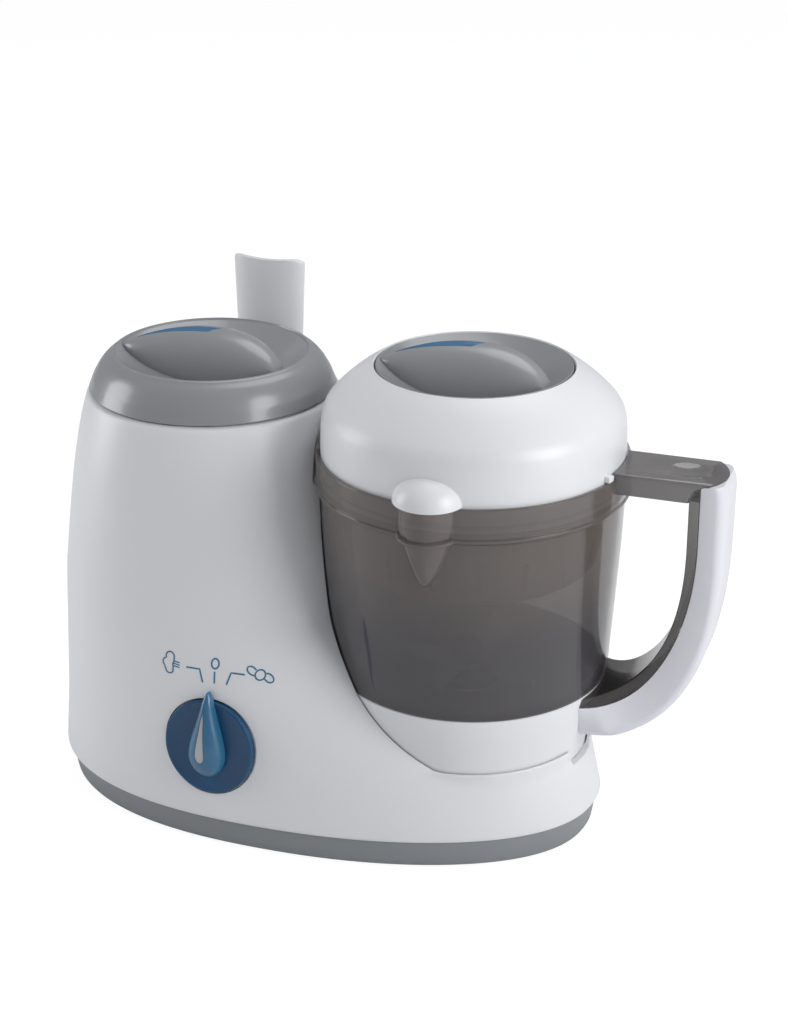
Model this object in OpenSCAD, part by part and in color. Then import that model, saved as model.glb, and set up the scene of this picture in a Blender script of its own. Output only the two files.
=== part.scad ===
// Steam cooker and blender for baby food: a water tower and a blending bowl side by side on one base.
// Frame: millimetres, +Z up, origin on the table under the middle of the base.
// +X runs from the tower to the bowl and its handle, -Y is the front with the selector knob.

/* [Base] */
// Length of the base at the seam over the skirt
base_length = 260.6; // [250:0.2:280]
// Width of the base at the seam over the skirt
base_width = 163; // [155:0.5:175]
// How much narrower the bowl end of the base is than the tower end
base_taper = 0.19; // [0.1:0.01:0.22]
// Squareness of the base outline, 2 is an ellipse
base_power = 2.22; // [2:0.01:2.4]
// Height of the seam between skirt and body
seam_height = 14.2; // [12:0.2:18]
// How far the body hangs over the top of the skirt
skirt_step = 1.8; // [1:0.1:2.2]
// Distance of the foot of the skirt inside the seam outline
skirt_lean = 3.7; // [3:0.1:6]
// Gap between the skirt and the table
skirt_lift = 1; // [0.5:0.1:2]
// Wall of the skirt
skirt_wall = 2.6; // [2:0.1:3.5]
// Thickness of the bottom plate
plate_thickness = 2.4; // [2:0.1:4]
// Underside of the bottom plate above the table
plate_height = 3; // [2.5:0.1:4]
// Width of the rubber foot ring
foot_width = 5; // [4:0.5:8]
// Distance of the foot ring from the skirt outline
foot_inset = 4; // [3.5:0.5:8]

/* [Body shell] */
// Wall of the body shell
shell_wall = 2.5; // [2:0.1:3]
// Gap between two fixed shells at a seam
seam_gap = 0.3; // [0.1:0.1:0.4]
// Distance of the tower axis behind the middle of the base
tower_offset = 58; // [54:0.5:60]
// Top of the body shell
tower_height = 186; // [180:1:196]
// Radius of the tower at its top
tower_top_radius = 56.2; // [54:0.2:58]
// Radius of the shoulder round the tower top
shoulder_radius = 2.4; // [1.5:0.1:3]
// Height of the cradle rim round the bowl
rim_height = 46; // [43:0.5:48]
// How far the bowl end leans in up to the cradle rim
rim_lean = 7.4; // [6:0.1:8]
// Reach of the body at the height of the cradle rim without the rim itself
saddle_reach = 114.5; // [110:0.5:118]
// Wall of the cradle rim round the bowl
lip_wall = 1; // [0.8:0.1:1.6]
// Height of the shelf under the bowl
shelf_height = 37.7; // [36:0.1:39]
// Gap between the bowl and the cradle wall
cradle_gap = 0.7; // [0.6:0.1:1.2]
// Half width of the notch in the cradle rim under the handle
notch_half_width = 11; // [9:0.5:14]

/* [Bowl] */
// Distance of the bowl axis ahead of the middle of the base
bowl_offset = 69; // [68:0.5:71]
// Angle of the handle away from the long axis of the base
bowl_yaw = 5.5; // [0:0.5:8]
// Bottom of the bowl ring above the shelf
bowl_rest_gap = 0.3; // [0.2:0.1:0.5]
// Outer radius of the white bowl ring at its bottom
ring_bottom_radius = 52.9; // [52:0.1:54]
// Outer radius of the bowl where the ring ends
ring_top_radius = 61.4; // [61:0.1:62]
// Height of the joint between ring and bowl
ring_top_height = 75.5; // [72:0.5:78]
// Outer radius of the bowl under its ledge
bowl_top_radius = 66; // [65:0.1:66.4]
// Height of the ledge under the collar
ledge_height = 162; // [158:0.5:165]
// Outer radius of the collar
collar_radius = 67.9; // [67.4:0.1:68.4]
// Height of the collar over the ledge
collar_height = 13.5; // [12:0.5:15]
// Wall of the bowl
bowl_wall = 2.2; // [1.8:0.1:2.6]
// Wall of the collar
collar_wall = 1.5; // [1.4:0.1:1.7]
// Thickness of the bowl floor
bowl_floor = 3; // [2.5:0.1:4]
// Underside of the bowl floor
bowl_floor_height = 58; // [56:0.5:60]
// Half width of the pouring spout
spout_half_width = 14.5; // [13:0.5:16]
// Reach of the spout from the bowl axis
spout_reach = 76.5; // [74:0.5:79]
// Lowest point of the spout
spout_bottom = 139; // [135:0.5:144]
// Outer radius of the raised bead under the collar
bead_radius = 68.5; // [68:0.1:69]

/* [Handle] */
// Top of the thumb plate over the ledge of the bowl
thumb_rise = 16; // [15:0.5:18]
// Thickness of the thumb plate
thumb_thickness = 9.3; // [8:0.1:11]
// Half width of the thumb plate
thumb_half_width = 14.4; // [12:0.2:16]
// Half width of the lower arm
arm_half_width = 12; // [10:0.2:13]
// Half width of the handle where it meets the bowl ring
root_half_width = 24; // [18:0.5:26]
// Reach of the smoke frame from the bowl axis
frame_reach = 101.6; // [101:0.2:103]
// Thickness of the smoke frame
frame_thickness = 4.4; // [4:0.2:6]
// Thickness of the white shell outside the frame
shell_thickness = 11.1; // [10:0.1:13]
// Lowest point of the white handle shell
handle_bottom = 50.5; // [49:0.5:54]

/* [Lid] */
// Outer radius of the lid where it enters the collar
lid_radius = 65.8; // [65.5:0.1:66]
// Wall of the lid
lid_wall = 2.2; // [1.8:0.1:2.6]
// Height of the rim of the grip dish over the ledge of the bowl
lid_height = 52; // [50:0.5:55]
// Radius of the grip dish
grip_radius = 42.5; // [40:0.5:44]
// Depth of the grip dish
grip_depth = 14; // [12:0.5:16]
// Height of the grip ridge over the dish rim
grip_rise = 9; // [7:0.5:10]

/* [Tank cap] */
// Height of the dish rim of the tank cap
cap_rim_height = 203; // [200:0.5:208]
// Widest radius of the tank cap
cap_radius = 55.5; // [54:0.1:56]
// Radius of the threaded neck opening under the cap
neck_radius = 29.5; // [27:0.5:31]
// Wall of the neck
neck_wall = 5; // [4:0.5:6]

/* [Tank and heater] */
// Outer radius of the water tank
tank_radius = 36; // [33:0.5:38]
// Bottom of the water tank
tank_bottom = 118; // [112:1:126]
// Wall of the water tank
tank_wall = 2; // [1.5:0.1:3]
// Thickness of the heating plate
heater_thickness = 5; // [4:0.5:7]
// Depth of the steam outlet under the ledge of the bowl
steam_drop = 9; // [8:0.5:11]
// Outer radius of the steam pipe
steam_pipe_radius = 3; // [2.5:0.1:3.5]

/* [Drive] */
// Radius of the motor can
motor_radius = 26; // [22:0.5:28]
// Length of the motor can
motor_length = 62; // [50:1:66]
// Underside of the motor can
motor_bottom = 32; // [30:0.5:36]
// Distance of the motor axis from the tower axis towards the back
motor_back = 14; // [12:0.5:16]
// Radius of the motor pulley
motor_pulley_radius = 10; // [8:0.5:11]
// Radius of the driven pulley
driven_pulley_radius = 25; // [20:0.5:27]
// Underside of both pulleys
pulley_bottom = 15; // [14:0.5:16]
// Height of both pulleys
pulley_height = 8; // [6:0.5:9]
// Thickness of the drive belt
belt_thickness = 1.6; // [1.2:0.1:2]
// Radius of the spindle
spindle_radius = 4; // [3.5:0.1:5]
// Radius of the motor shaft
motor_shaft_radius = 3; // [2.5:0.1:4]
// Radial clearance of a shaft in its bearing
running_clearance = 0.05; // [0.02:0.01:0.09]
// Gap between a moving piece and the piece it faces
moving_gap = 0.3; // [0.25:0.05:0.5]

/* [Blades and basket] */
// Radius swept by the blades
blade_radius = 44; // [38:0.5:48]
// Thickness of a blade
blade_thickness = 1.2; // [1:0.1:1.6]
// Outer radius of the steam basket under its rim
basket_radius = 59.5; // [58:0.5:60]
// Depth of the steam basket
basket_depth = 38; // [34:1:42]
// Wall of the steam basket
basket_wall = 1.8; // [1.5:0.1:2.2]
// Number of slots round the basket
basket_slots = 18; // [12:2:24]

/* [Selector knob] */
// Place of the knob along the base, from the middle
knob_offset = 21.6; // [18:0.2:25]
// Height of the knob centre
knob_height = 48.5; // [46:0.5:52]
// Upward tilt of the knob face
knob_tilt = 6.5; // [4:0.5:9]
// Radius of the knob disc
knob_radius = 21.5; // [19:0.5:23]
// Largest turn of the knob to each side
knob_turn = 35; // [30:1:45]
// Height of the pointer over the disc
pointer_height = 8; // [6:0.5:10]

/* [Spatula] */
// Width of the spatula blade
spatula_width = 35.6; // [32:0.2:38]
// Length of the spatula
spatula_length = 154; // [145:1:160]
// Thickness of the spatula
spatula_thickness = 2.6; // [2.2:0.1:3.5]
// Turn of the spatula and its channel about the tower axis
spatula_turn = 4.5; // [0:0.5:8]
// How deep the channel is cut into the body at the clip
channel_inset = 9; // [8:0.1:10]
// Bottom of the spatula channel
channel_bottom = 73; // [68:1:80]

/* [Hidden] */

$fn = 96;
eps = 0.01;
white = "whitesmoke";
grey = [0.56, 0.57, 0.58];
smoke = [0.36, 0.33, 0.32, 0.6];

half_length = base_length / 2;
tower_x = -tower_offset;
bowl_x = bowl_offset;
shell_bottom = seam_height + seam_gap;
steam_height = ledge_height - steam_drop;
collar_top = ledge_height + collar_height;
thumb_top = ledge_height + thumb_rise;
lid_rim_height = ledge_height + lid_height;
grip_reach = frame_reach - frame_thickness;
shell_reach = frame_reach + shell_thickness;
ring_bottom = shelf_height + bowl_rest_gap;
bowl_inside_floor = bowl_floor_height + bowl_floor;
collar_inner = collar_radius - collar_wall;
thumb_bottom = thumb_top - thumb_thickness;
cap_bottom = tower_height + 1.7;
neck_flange = 1.2;
motor_y = motor_back;
motor_x = tower_x;
plate_top = plate_height + plate_thickness;
knob_front = half_width(knob_height) + 1.6;

// ---------- Outline of the body ----------

// Share of the body height at height z, 0 at the seam and 1 at the top of the tower
function body_share(z) = max(z - seam_height, 0) / (tower_height - seam_height);

// Radius of the tower end at height z
function left_radius(z) =
  let (foot = half_length + tower_x, s = body_share(z))
  foot - (foot - tower_top_radius) * (0.72 * pow(s, 1.6) + 0.28 * pow(s, 8));

// Half width of the body at height z
function half_width(z) =
  let (s = body_share(z))
  base_width / 2 - (base_width / 2 - tower_top_radius) * (0.85 * s + 0.15 * pow(s, 10));

// The smaller and the larger of two lengths, rounded where they meet
function soft_min(a, b, round) = min(a, b) - round * ln(1 + exp(-abs(a - b) / round));
function soft_max(a, b, round) = max(a, b) + round * ln(1 + exp(-abs(a - b) / round));

// End of the body on the bowl side at height z: the base leans in, then the saddle falls to the tower
function right_end(z) =
  let (
    up = (z - rim_height) / (tower_height - rim_height),
    start = tower_x + tower_top_radius
  )
  soft_min(
    half_length - rim_lean * (z - seam_height) / (rim_height - seam_height),
    start + (saddle_reach - start) * soft_max(1 - 1.82 * up, 0.33 * (1 - pow(max(up, 0), 1.6)), 0.03),
    2
  );

// Squareness of the outline at height z
function outline_power(z) = 2 + (base_power - 2) * (1 - body_share(z));

function signed_power(v, p) = sign(v) * pow(abs(v), p);

// Radius of the rim round the bowl at height z, none above the rim
function lip_radius(z) =
  z > rim_height + 0.1 ? 0 : bowl_radius(max(z, ring_bottom)) + cradle_gap + lip_wall;

// A point of an outline moved out to the rim round the bowl
function beyond_lip(p, radius) =
  let (axis = [bowl_x, 0], d = norm(p - axis))
  radius <= 0 ? p : axis + (p - axis) * soft_max(d, radius, 1) / d;

// Points of one horizontal outline of the body, inset by a distance
function body_outline(z, inset = 0, points = 64) = [
  for (i = [0 : points - 1])
    let (
      turn = 360 * i / points,
      p = 2 / outline_power(z),
      low = tower_x - left_radius(z) + inset,
      high = right_end(z) - inset,
      x = (low + high) / 2 + (high - low) / 2 * signed_power(cos(turn), p),
      taper = base_taper * max(1 - z / tower_height, 0)
    )
    beyond_lip(
      [x, (half_width(z) - inset) * signed_power(sin(turn), p) * (1 - taper * x / half_length)],
      lip_radius(z) - inset
    )
];

function at_height(outline, z) = [for (p = outline) [p[0], p[1], z]];

// A closed solid through a stack of outlines with the same number of points
module loft(rings) {
  count = len(rings[0]);
  last = len(rings) - 1;
  sides = [
    for (j = [0 : last - 1], i = [0 : count - 1])
      let (k = (i + 1) % count, a = j * count + i, b = j * count + k, c = b + count, d = a + count)
      each [[a, d, c], [a, c, b]]
  ];
  bottom = [for (i = [0 : count - 1]) i];
  top = [for (i = [count - 1 : -1 : 0]) last * count + i];
  polyhedron(points = [for (ring = rings) each ring], faces = concat([bottom], sides, [top]));
}

function shoulder_inset(z) =
  let (h = z - (tower_height - shoulder_radius))
  h <= 0 ? 0 : shoulder_radius - sqrt(max(shoulder_radius * shoulder_radius - h * h, 0));

shell_levels = [
  shell_bottom, 22, 30, 35, 39, 43, rim_height, rim_height + 0.6, 50, 56, 64, 74, 84, 94, 104, 116, 132,
  148, 164, 176,
  tower_height - shoulder_radius, tower_height - 0.4 * shoulder_radius, tower_height
];
core_levels = [
  shell_bottom - 1, 30, 38, rim_height, 56, 70, 88, 104, 120, 142, 165, tower_height - shell_wall
];

module shell_outside() {
  loft([for (z = shell_levels) at_height(body_outline(z, shoulder_inset(z)), z)]);
}

module shell_inside() {
  loft([for (z = core_levels) at_height(body_outline(z, shell_wall, 48), z)]);
}

// How the ring and the bowl widen from bottom to top, as shares of both
ring_bulge = [[0, 0], [0.16, 0.11], [0.27, 0.19], [0.43, 0.39], [0.64, 0.67], [0.83, 0.87], [1, 1]];
bowl_bulge = [[0, 0], [0.2, 0.24], [0.45, 0.52], [0.74, 0.83], [1, 1]];
bowl_shoulder = ledge_height - 5;

// Outer radius of the bowl and its ring at height z
function bowl_radius(z) =
  z <= ring_top_height
  ? ring_bottom_radius
    + (ring_top_radius - ring_bottom_radius)
      * lookup((z - ring_bottom) / (ring_top_height - ring_bottom), ring_bulge)
  : ring_top_radius
    + (bowl_top_radius - ring_top_radius)
      * lookup((z - ring_top_height) / (bowl_shoulder - ring_top_height), bowl_bulge);

side_levels = concat(
  [for (b = ring_bulge) ring_bottom + (ring_top_height - ring_bottom) * b[0]],
  [for (b = bowl_bulge) if (b[0] > 0) ring_top_height + (bowl_shoulder - ring_top_height) * b[0]]
);

// Points up the outside of the bowl between two heights, moved out by a distance
function bowl_side(low, high, out = 0) = concat(
  [[bowl_radius(low) + out, low]],
  [for (z = side_levels) if (z > low + 0.5 && z < high - 0.5) [bowl_radius(z) + out, z]],
  [[bowl_radius(high) + out, high]]
);

function reversed(list) = [for (i = [len(list) - 1 : -1 : 0]) list[i]];

// The space that the bowl stands in, grown by a margin
module cradle_space(margin = 0) {
  out = cradle_gap + margin;
  translate([bowl_x, 0, 0])
    rotate_extrude()
      polygon(concat(
        [[0, shelf_height - margin], [bowl_radius(ring_bottom) + out, shelf_height - margin]],
        bowl_side(ring_bottom + 1, ledge_height - 8, out),
        [[bead_radius + out + 0.4, ledge_height - 4], [bead_radius + out + 0.4, tower_height + 20], [0, tower_height + 20]]
      ));
}

// The upright channel behind the tower that the spatula stands in, grown by a margin
module spatula_channel(margin = 0) {
  half = spatula_width / 2 + 1.5 + margin;
  at_spatula()
    translate([-half, channel_depth - margin, channel_bottom - margin])
      cube([2 * half, 60, tower_height]);
}

// Children are placed in the frame of the spatula: the tower axis is Z and the spatula stands along +Y
module at_spatula() {
  translate([tower_x, 0, 0])
    rotate([0, 0, spatula_turn])
      children();
}

// Children are placed on the knob axis: +Z points out of the front, +Y up the panel
module at_knob() {
  translate([-knob_offset, -knob_front, knob_height])
    rotate([90 - knob_tilt, 0, 0])
      children();
}

// Children are placed in the frame of the bowl: its axis is Z and the handle points along +X
module at_bowl() {
  translate([bowl_x, 0, 0])
    rotate([0, 0, bowl_yaw])
      children();
}

module at_tower() {
  translate([tower_x, 0, 0])
    children();
}

// A plain tube
module tube(outer, inner, height) {
  difference() {
    cylinder(r = outer, h = height);
    translate([0, 0, -1])
      cylinder(r = inner, h = height + 2);
  }
}

// ---------- Body shell, skirt and bottom ----------

screw_radius = 1.45;
screw_hole = 1.5;
screw_boss = 4.5;
screw_spots = [
  for (side = [-1, 1]) each [
    [-half_length + 24, side * 0.13 * base_width], [half_length - 26, side * 0.095 * base_width]
  ]
];
switch_top = -8;
gland_height = 27;
gland_radius = 6;
gland_x = tower_x + 38;
// The outline is a little wider than its half width where the gland sits
gland_face = half_width(gland_height) * 1.017;

module screw_bosses() {
  for (spot = screw_spots) {
    end = sign(spot[0]) * half_length;
    translate([spot[0], spot[1], shell_bottom])
      cylinder(r = screw_boss, h = shelf_height - shell_bottom - 1);
    translate([min(spot[0], end), spot[1] - 1, shell_bottom])
      cube([abs(end - spot[0]), 2, shelf_height - shell_bottom - 1]);
  }
}

module body_shell() {
  color(white)
    difference() {
      union() {
        difference() {
          shell_outside();
          difference() {
            shell_inside();
            cradle_space(shell_wall);
            spatula_channel(shell_wall);
          }
        }
        intersection() {
          shell_outside();
          union() {
            screw_bosses();
            at_knob()
              translate([0, 0, switch_top + 0.1])
                cylinder(r = knob_radius + 3.5, h = 10);
          }
        }
      }
      cradle_space();
      spatula_channel();
      // pocket of the spatula clip
      clip_block(0.1);
      // notch in the rim under the handle
      translate([bowl_x + 30, 0, shelf_height])
        rotate([90, 0, 90])
          linear_extrude(60)
            polygon([
              [-notch_half_width, 0], [notch_half_width, 0],
              [notch_half_width + 3, 12], [-notch_half_width - 3, 12]
            ]);
      // neck of the water tank
      at_tower()
        translate([0, 0, tower_height - 10])
          cylinder(r = neck_radius + neck_wall + 0.2, h = 20);
      // well and shaft hole of the knob
      at_knob() {
        translate([0, 0, -2.5])
          cylinder(r = knob_radius + 0.8, h = 20);
        translate([0, 0, -20])
          cylinder(r = 7, h = 30);
      }
      // steam outlet
      translate([bowl_x - 90, 0, steam_height])
        rotate([0, 90, 0])
          cylinder(r = 6.1, h = 40);
      // spindle and plunger holes in the shelf
      translate([bowl_x, 0, shelf_height - 10])
        cylinder(r = 10.1, h = 20);
      translate([bowl_x + plunger_x, 0, shelf_height - 10])
        cylinder(r = plunger_radius + running_clearance, h = 20);
      for (spot = screw_spots)
        translate([spot[0], spot[1], shell_bottom - 1])
          cylinder(r = screw_hole, h = 16);
      // cord gland
      translate([gland_x, 40, gland_height])
        rotate([-90, 0, 0])
          cylinder(r = gland_radius, h = 60);
    }
}

module base_skirt() {
  color(grey)
    difference() {
      loft([
        at_height(body_outline(seam_height, skirt_lean), skirt_lift),
        at_height(body_outline(seam_height, skirt_step), seam_height)
      ]);
      loft([
        at_height(body_outline(seam_height, skirt_lean + skirt_wall, 48), skirt_lift - 1),
        at_height(body_outline(seam_height, skirt_step + skirt_wall, 48), seam_height + 1)
      ]);
    }
}

module base_plate() {
  color([0.45, 0.46, 0.47])
    difference() {
      translate([0, 0, plate_height])
        linear_extrude(plate_thickness)
          polygon(body_outline(seam_height, skirt_lean + skirt_wall + seam_gap));
      for (spot = screw_spots)
        translate([spot[0], spot[1], 0])
          cylinder(r = screw_radius + 0.3, h = 20);
      // cooling slots under the motor
      for (i = [-3 : 3])
        translate([motor_x + 7 * i - 1.5, motor_y - 16, 0])
          cube([3, 32, 20]);
    }
}

module foot_ring() {
  color([0.25, 0.25, 0.26])
    linear_extrude(plate_height)
      difference() {
        polygon(body_outline(seam_height, skirt_lean + foot_inset));
        polygon(body_outline(seam_height, skirt_lean + foot_inset + foot_width));
      }
}

module base_screws() {
  color("silver")
    for (spot = screw_spots)
      translate([spot[0], spot[1], 0])
        difference() {
          union() {
            translate([0, 0, 1.2])
              cylinder(r = 3, h = plate_height - 1.2);
            translate([0, 0, 2])
              cylinder(r = screw_radius, h = 26);
          }
          translate([-2.2, -0.4, 0])
            cube([4.4, 0.8, 2]);
        }
}

// ---------- Inside the tower ----------

tank_top = tower_height - shell_wall - 4;

module motor_can() {
  color([0.6, 0.6, 0.62])
    translate([motor_x, motor_y, motor_bottom])
      difference() {
        cylinder(r = motor_radius, h = motor_length);
        translate([0, 0, 3])
          cylinder(r = motor_radius - 2, h = motor_length - 6);
        translate([0, 0, -1])
          cylinder(r = motor_shaft_radius + running_clearance, h = 10);
      }
}

bracket_wall = 3;
bracket_height = 3;

module motor_bracket() {
  foot_x = motor_radius + 7;
  color("lightgrey")
    translate([motor_x, motor_y, 0])
      difference() {
        union() {
          translate([0, 0, motor_bottom - bracket_height])
            cylinder(r = motor_radius, h = bracket_height);
          for (side = [-1, 1]) {
            translate([side * foot_x - 4, -8, plate_top])
              cube([8, 16, motor_bottom - plate_top]);
            translate([min(0, side * foot_x), -8, motor_bottom - bracket_height])
              cube([foot_x, 16, bracket_height]);
          }
        }
        translate([0, 0, plate_top])
          cylinder(r = 12, h = 60);
      }
}

module motor_shaft() {
  color("silver")
    translate([motor_x, motor_y, 0]) {
      translate([0, 0, pulley_bottom - 2])
        cylinder(r = motor_shaft_radius, h = motor_bottom + motor_length - 10 - pulley_bottom);
      translate([0, 0, motor_bottom + 8])
        cylinder(r = motor_radius - 5, h = motor_length - 20);
    }
}

// A flat-belt pulley with two flanges
module pulley(radius, bore) {
  difference() {
    union() {
      cylinder(r = radius, h = pulley_height);
      cylinder(r = radius + 1.2, h = 0.8);
      translate([0, 0, pulley_height - 0.8])
        cylinder(r = radius + 1.2, h = 0.8);
    }
    translate([0, 0, -1])
      cylinder(r = bore, h = pulley_height + 2);
  }
}

module motor_pulley() {
  color("dimgray")
    translate([motor_x, motor_y, pulley_bottom])
      pulley(motor_pulley_radius, motor_shaft_radius);
}

module driven_pulley() {
  color("dimgray")
    translate([bowl_x, 0, pulley_bottom])
      difference() {
        pulley(driven_pulley_radius, spindle_radius);
        for (turn = [0 : 60 : 300])
          rotate([0, 0, turn])
            translate([driven_pulley_radius * 0.58, 0, -1])
              cylinder(r = driven_pulley_radius * 0.18, h = pulley_height + 2);
      }
}

module belt_outline(extra) {
  hull() {
    translate([motor_x, motor_y])
      circle(r = motor_pulley_radius + extra);
    translate([bowl_x, 0])
      circle(r = driven_pulley_radius + extra);
  }
}

module drive_belt() {
  color([0.15, 0.15, 0.15])
    translate([0, 0, pulley_bottom + 0.8 + moving_gap])
      linear_extrude(pulley_height - 1.6 - 2 * moving_gap)
        difference() {
          belt_outline(moving_gap + belt_thickness);
          belt_outline(moving_gap);
        }
}

module water_tank() {
  color([0.78, 0.79, 0.8])
    at_tower()
      translate([0, 0, tank_bottom])
        difference() {
          cylinder(r = tank_radius, h = tank_top - tank_bottom);
          translate([0, 0, tank_wall])
            cylinder(r = tank_radius - tank_wall, h = tank_top - tank_bottom);
          translate([0, 0, steam_height - tank_bottom])
            rotate([0, 90, 0])
              cylinder(r = steam_pipe_radius, h = 60);
        }
}

// Collar that closes the tank and carries the thread for the cap
module tank_neck() {
  color(grey)
    at_tower()
      difference() {
        union() {
          translate([0, 0, tank_top])
            cylinder(r = tank_radius, h = tower_height - shell_wall - tank_top - 0.1);
          translate([0, 0, tank_top])
            cylinder(r = neck_radius + neck_wall, h = tower_height + neck_flange - tank_top);
          translate([0, 0, tower_height])
            cylinder(r = neck_radius + neck_wall + 3, h = neck_flange);
        }
        translate([0, 0, tank_top - 1])
          cylinder(r = neck_radius, h = 40);
      }
}

module heating_plate() {
  color([0.7, 0.68, 0.65])
    at_tower() {
      translate([0, 0, tank_bottom - heater_thickness])
        cylinder(r = tank_radius - 3, h = heater_thickness);
      for (side = [-1, 1])
        translate([side * 20, -20, tank_bottom - heater_thickness - 6])
          cylinder(r = 2, h = 8);
    }
}

module thermostat() {
  color("silver")
    at_tower()
      translate([0, 0, tank_bottom - heater_thickness - 5]) {
        cylinder(r = 8, h = 5);
        for (side = [-1, 1])
          translate([side * 5 - 1.5, -0.4, -6])
            cube([3, 0.8, 8]);
      }
}

nozzle_length = 10;
nozzle_face = bowl_x - bead_radius - cradle_gap - 0.8;

module steam_pipe() {
  start = tower_x + tank_radius - tank_wall + 0.6;
  color([0.85, 0.85, 0.83])
    translate([start, 0, steam_height])
      rotate([0, 90, 0])
        difference() {
          cylinder(r = steam_pipe_radius, h = nozzle_face - nozzle_length + 6 - start);
          translate([0, 0, -1])
            cylinder(r = steam_pipe_radius - 1, h = 80);
        }
}

module steam_nozzle() {
  color([0.12, 0.12, 0.13])
    translate([nozzle_face - nozzle_length, 0, steam_height])
      rotate([0, 90, 0])
        difference() {
          cylinder(r = 6, h = nozzle_length);
          translate([0, 0, -1])
            cylinder(r = 2, h = nozzle_length + 2);
          translate([0, 0, -1])
            cylinder(r = steam_pipe_radius, h = 7);
        }
}

// ---------- Selector knob and electrics ----------

shaft_outer = 4.5;
lens_tip = pointer_height + 1.2;
disc_bottom = -2;
disc_top = 1.6;
pointer_tail = 8.2;
pointer_drop = 7.5;
pointer_reach = knob_radius + 2.5;

module knob_disc() {
  color([0.12, 0.3, 0.47])
    at_knob()
      difference() {
        union() {
          translate([0, 0, disc_bottom])
            cylinder(r = knob_radius, h = disc_top - disc_bottom - 0.8);
          translate([0, 0, disc_top - 0.8])
            cylinder(r1 = knob_radius, r2 = knob_radius - 0.8, h = 0.8);
        }
        translate([0, 0, disc_bottom - 1])
          cylinder(r = shaft_outer, h = 2.5);
      }
}

// Drop shaped pointer that ends in a tip over the edge of the disc
module knob_pointer() {
  color([0.29, 0.53, 0.69])
    at_knob()
      difference() {
        hull() {
          translate([0, -pointer_drop, disc_top])
            cylinder(r = pointer_tail, h = 1, $fn = 32);
          translate([0, -pointer_drop, pointer_height - 3])
            sphere(r = pointer_tail - 3, $fn = 32);
          translate([0, 4, pointer_height - 1.8])
            sphere(r = 3, $fn = 24);
          translate([0, pointer_reach - 1.2, disc_top + 0.3])
            cylinder(r = 1.2, h = 2.2, $fn = 16);
        }
        lens_slot(0.05);
        translate([0, 0, disc_top - 20])
          cylinder(r = 40, h = 20);
      }
}

module lens_slot(gap) {
  hull()
    for (y = [-3.5, 10])
      translate([0, y, pointer_height - 3.2])
        cylinder(r = 1.7 + gap, h = 12, $fn = 24);
}

module knob_lens() {
  color([0.85, 0.9, 0.93, 0.6])
    at_knob()
      intersection() {
        lens_slot(0);
        translate([0, 3.4, pointer_height - 8.8])
          sphere(r = 10.4, $fn = 48);
      }
}

module knob_shaft() {
  color("dimgray")
    at_knob()
      translate([0, 0, -16])
        tube(shaft_outer, 2.9, 15.4);
}

module selector_switch() {
  color([0.2, 0.2, 0.22])
    at_knob()
      difference() {
        translate([-14, -14, switch_top - 18])
          cube([28, 28, 18]);
        translate([0, 0, -17])
          cylinder(r = shaft_outer + running_clearance, h = 20);
      }
}

module indicator_lamp() {
  color([0.9, 0.55, 0.4])
    at_knob() {
      translate([0, 0, -17])
        cylinder(r = 2.4, h = 9);
      translate([0, 0, -8])
        sphere(r = 2.4);
    }
}

module control_board() {
  board_y = -44;
  color([0.1, 0.4, 0.25]) {
    translate([tower_x - 24, board_y, motor_bottom + 6])
      cube([40, 1.6, 46]);
    for (i = [0 : 2])
      translate([tower_x - 20 + 12 * i, board_y + 1.6, motor_bottom + 14 + 9 * i])
        cube([9, 7, 12]);
    // slots of the bracket that holds the board
    for (side = [-1, 1])
      translate([tower_x - 4 + side * 21.5 - 1.5, board_y - 1.5, plate_top])
        cube([3, 5, motor_bottom + 52 - plate_top]);
  }
}

module cord_gland() {
  color([0.2, 0.2, 0.21])
    translate([gland_x, gland_face, gland_height])
      rotate([-90, 0, 0])
        difference() {
          union() {
            translate([0, 0, -7])
              cylinder(r = gland_radius - 0.05, h = 9);
            translate([0, 0, -7])
              cylinder(r = gland_radius + 2, h = 3);
            translate([0, 0, 1])
              cylinder(r1 = gland_radius + 1.5, r2 = gland_radius - 1, h = 5);
          }
          translate([0, 0, -8])
            cylinder(r = 3.1, h = 20);
        }
}

clip_bottom = 104;
clip_height = 16;

clip_face = half_width(clip_bottom + clip_height);
channel_depth = clip_face - channel_inset;

// Outer block of the clip across the channel, grown by a gap
module clip_block(gap) {
  half = spatula_width / 2 + 4.5 + gap;
  at_spatula()
    translate([-half, clip_face - 3 - gap, clip_bottom - gap])
      cube([2 * half, 6 + gap, clip_height + 2 * gap]);
}

module spatula_clip() {
  half = spatula_width / 2 + 1.5;
  color(white)
    difference() {
      clip_block(0);
      at_spatula()
        translate([-half, 0, clip_bottom - 1])
          cube([2 * half, clip_face + 1, clip_height + 2]);
    }
}

// ---------- Drive under the bowl ----------

dog_base = shelf_height + 0.6;
dog_mid = dog_base + 3;
dog_tooth = 4.5;
dog_radius = 10;
bush_radius = 7;

// Three teeth of one half of the coupling, each a sector between two radii
module dog_teeth(start) {
  intersection() {
    tube(dog_radius, spindle_radius + 1.5, dog_tooth);
    for (turn = [0 : 120 : 240])
      rotate([0, 0, turn + start])
        linear_extrude(dog_tooth)
          polygon([[0, 0], [20, -10.5], [20, 10.5]]);
  }
}

module bearing_block() {
  color([0.75, 0.75, 0.76])
    translate([bowl_x, 0, plate_top])
      difference() {
        union() {
          cylinder(r = 16, h = 2.5);
          cylinder(r = 9, h = pulley_bottom - plate_top - 0.6);
        }
        translate([0, 0, 1.5])
          cylinder(r = spindle_radius + running_clearance, h = 20);
      }
}

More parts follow.
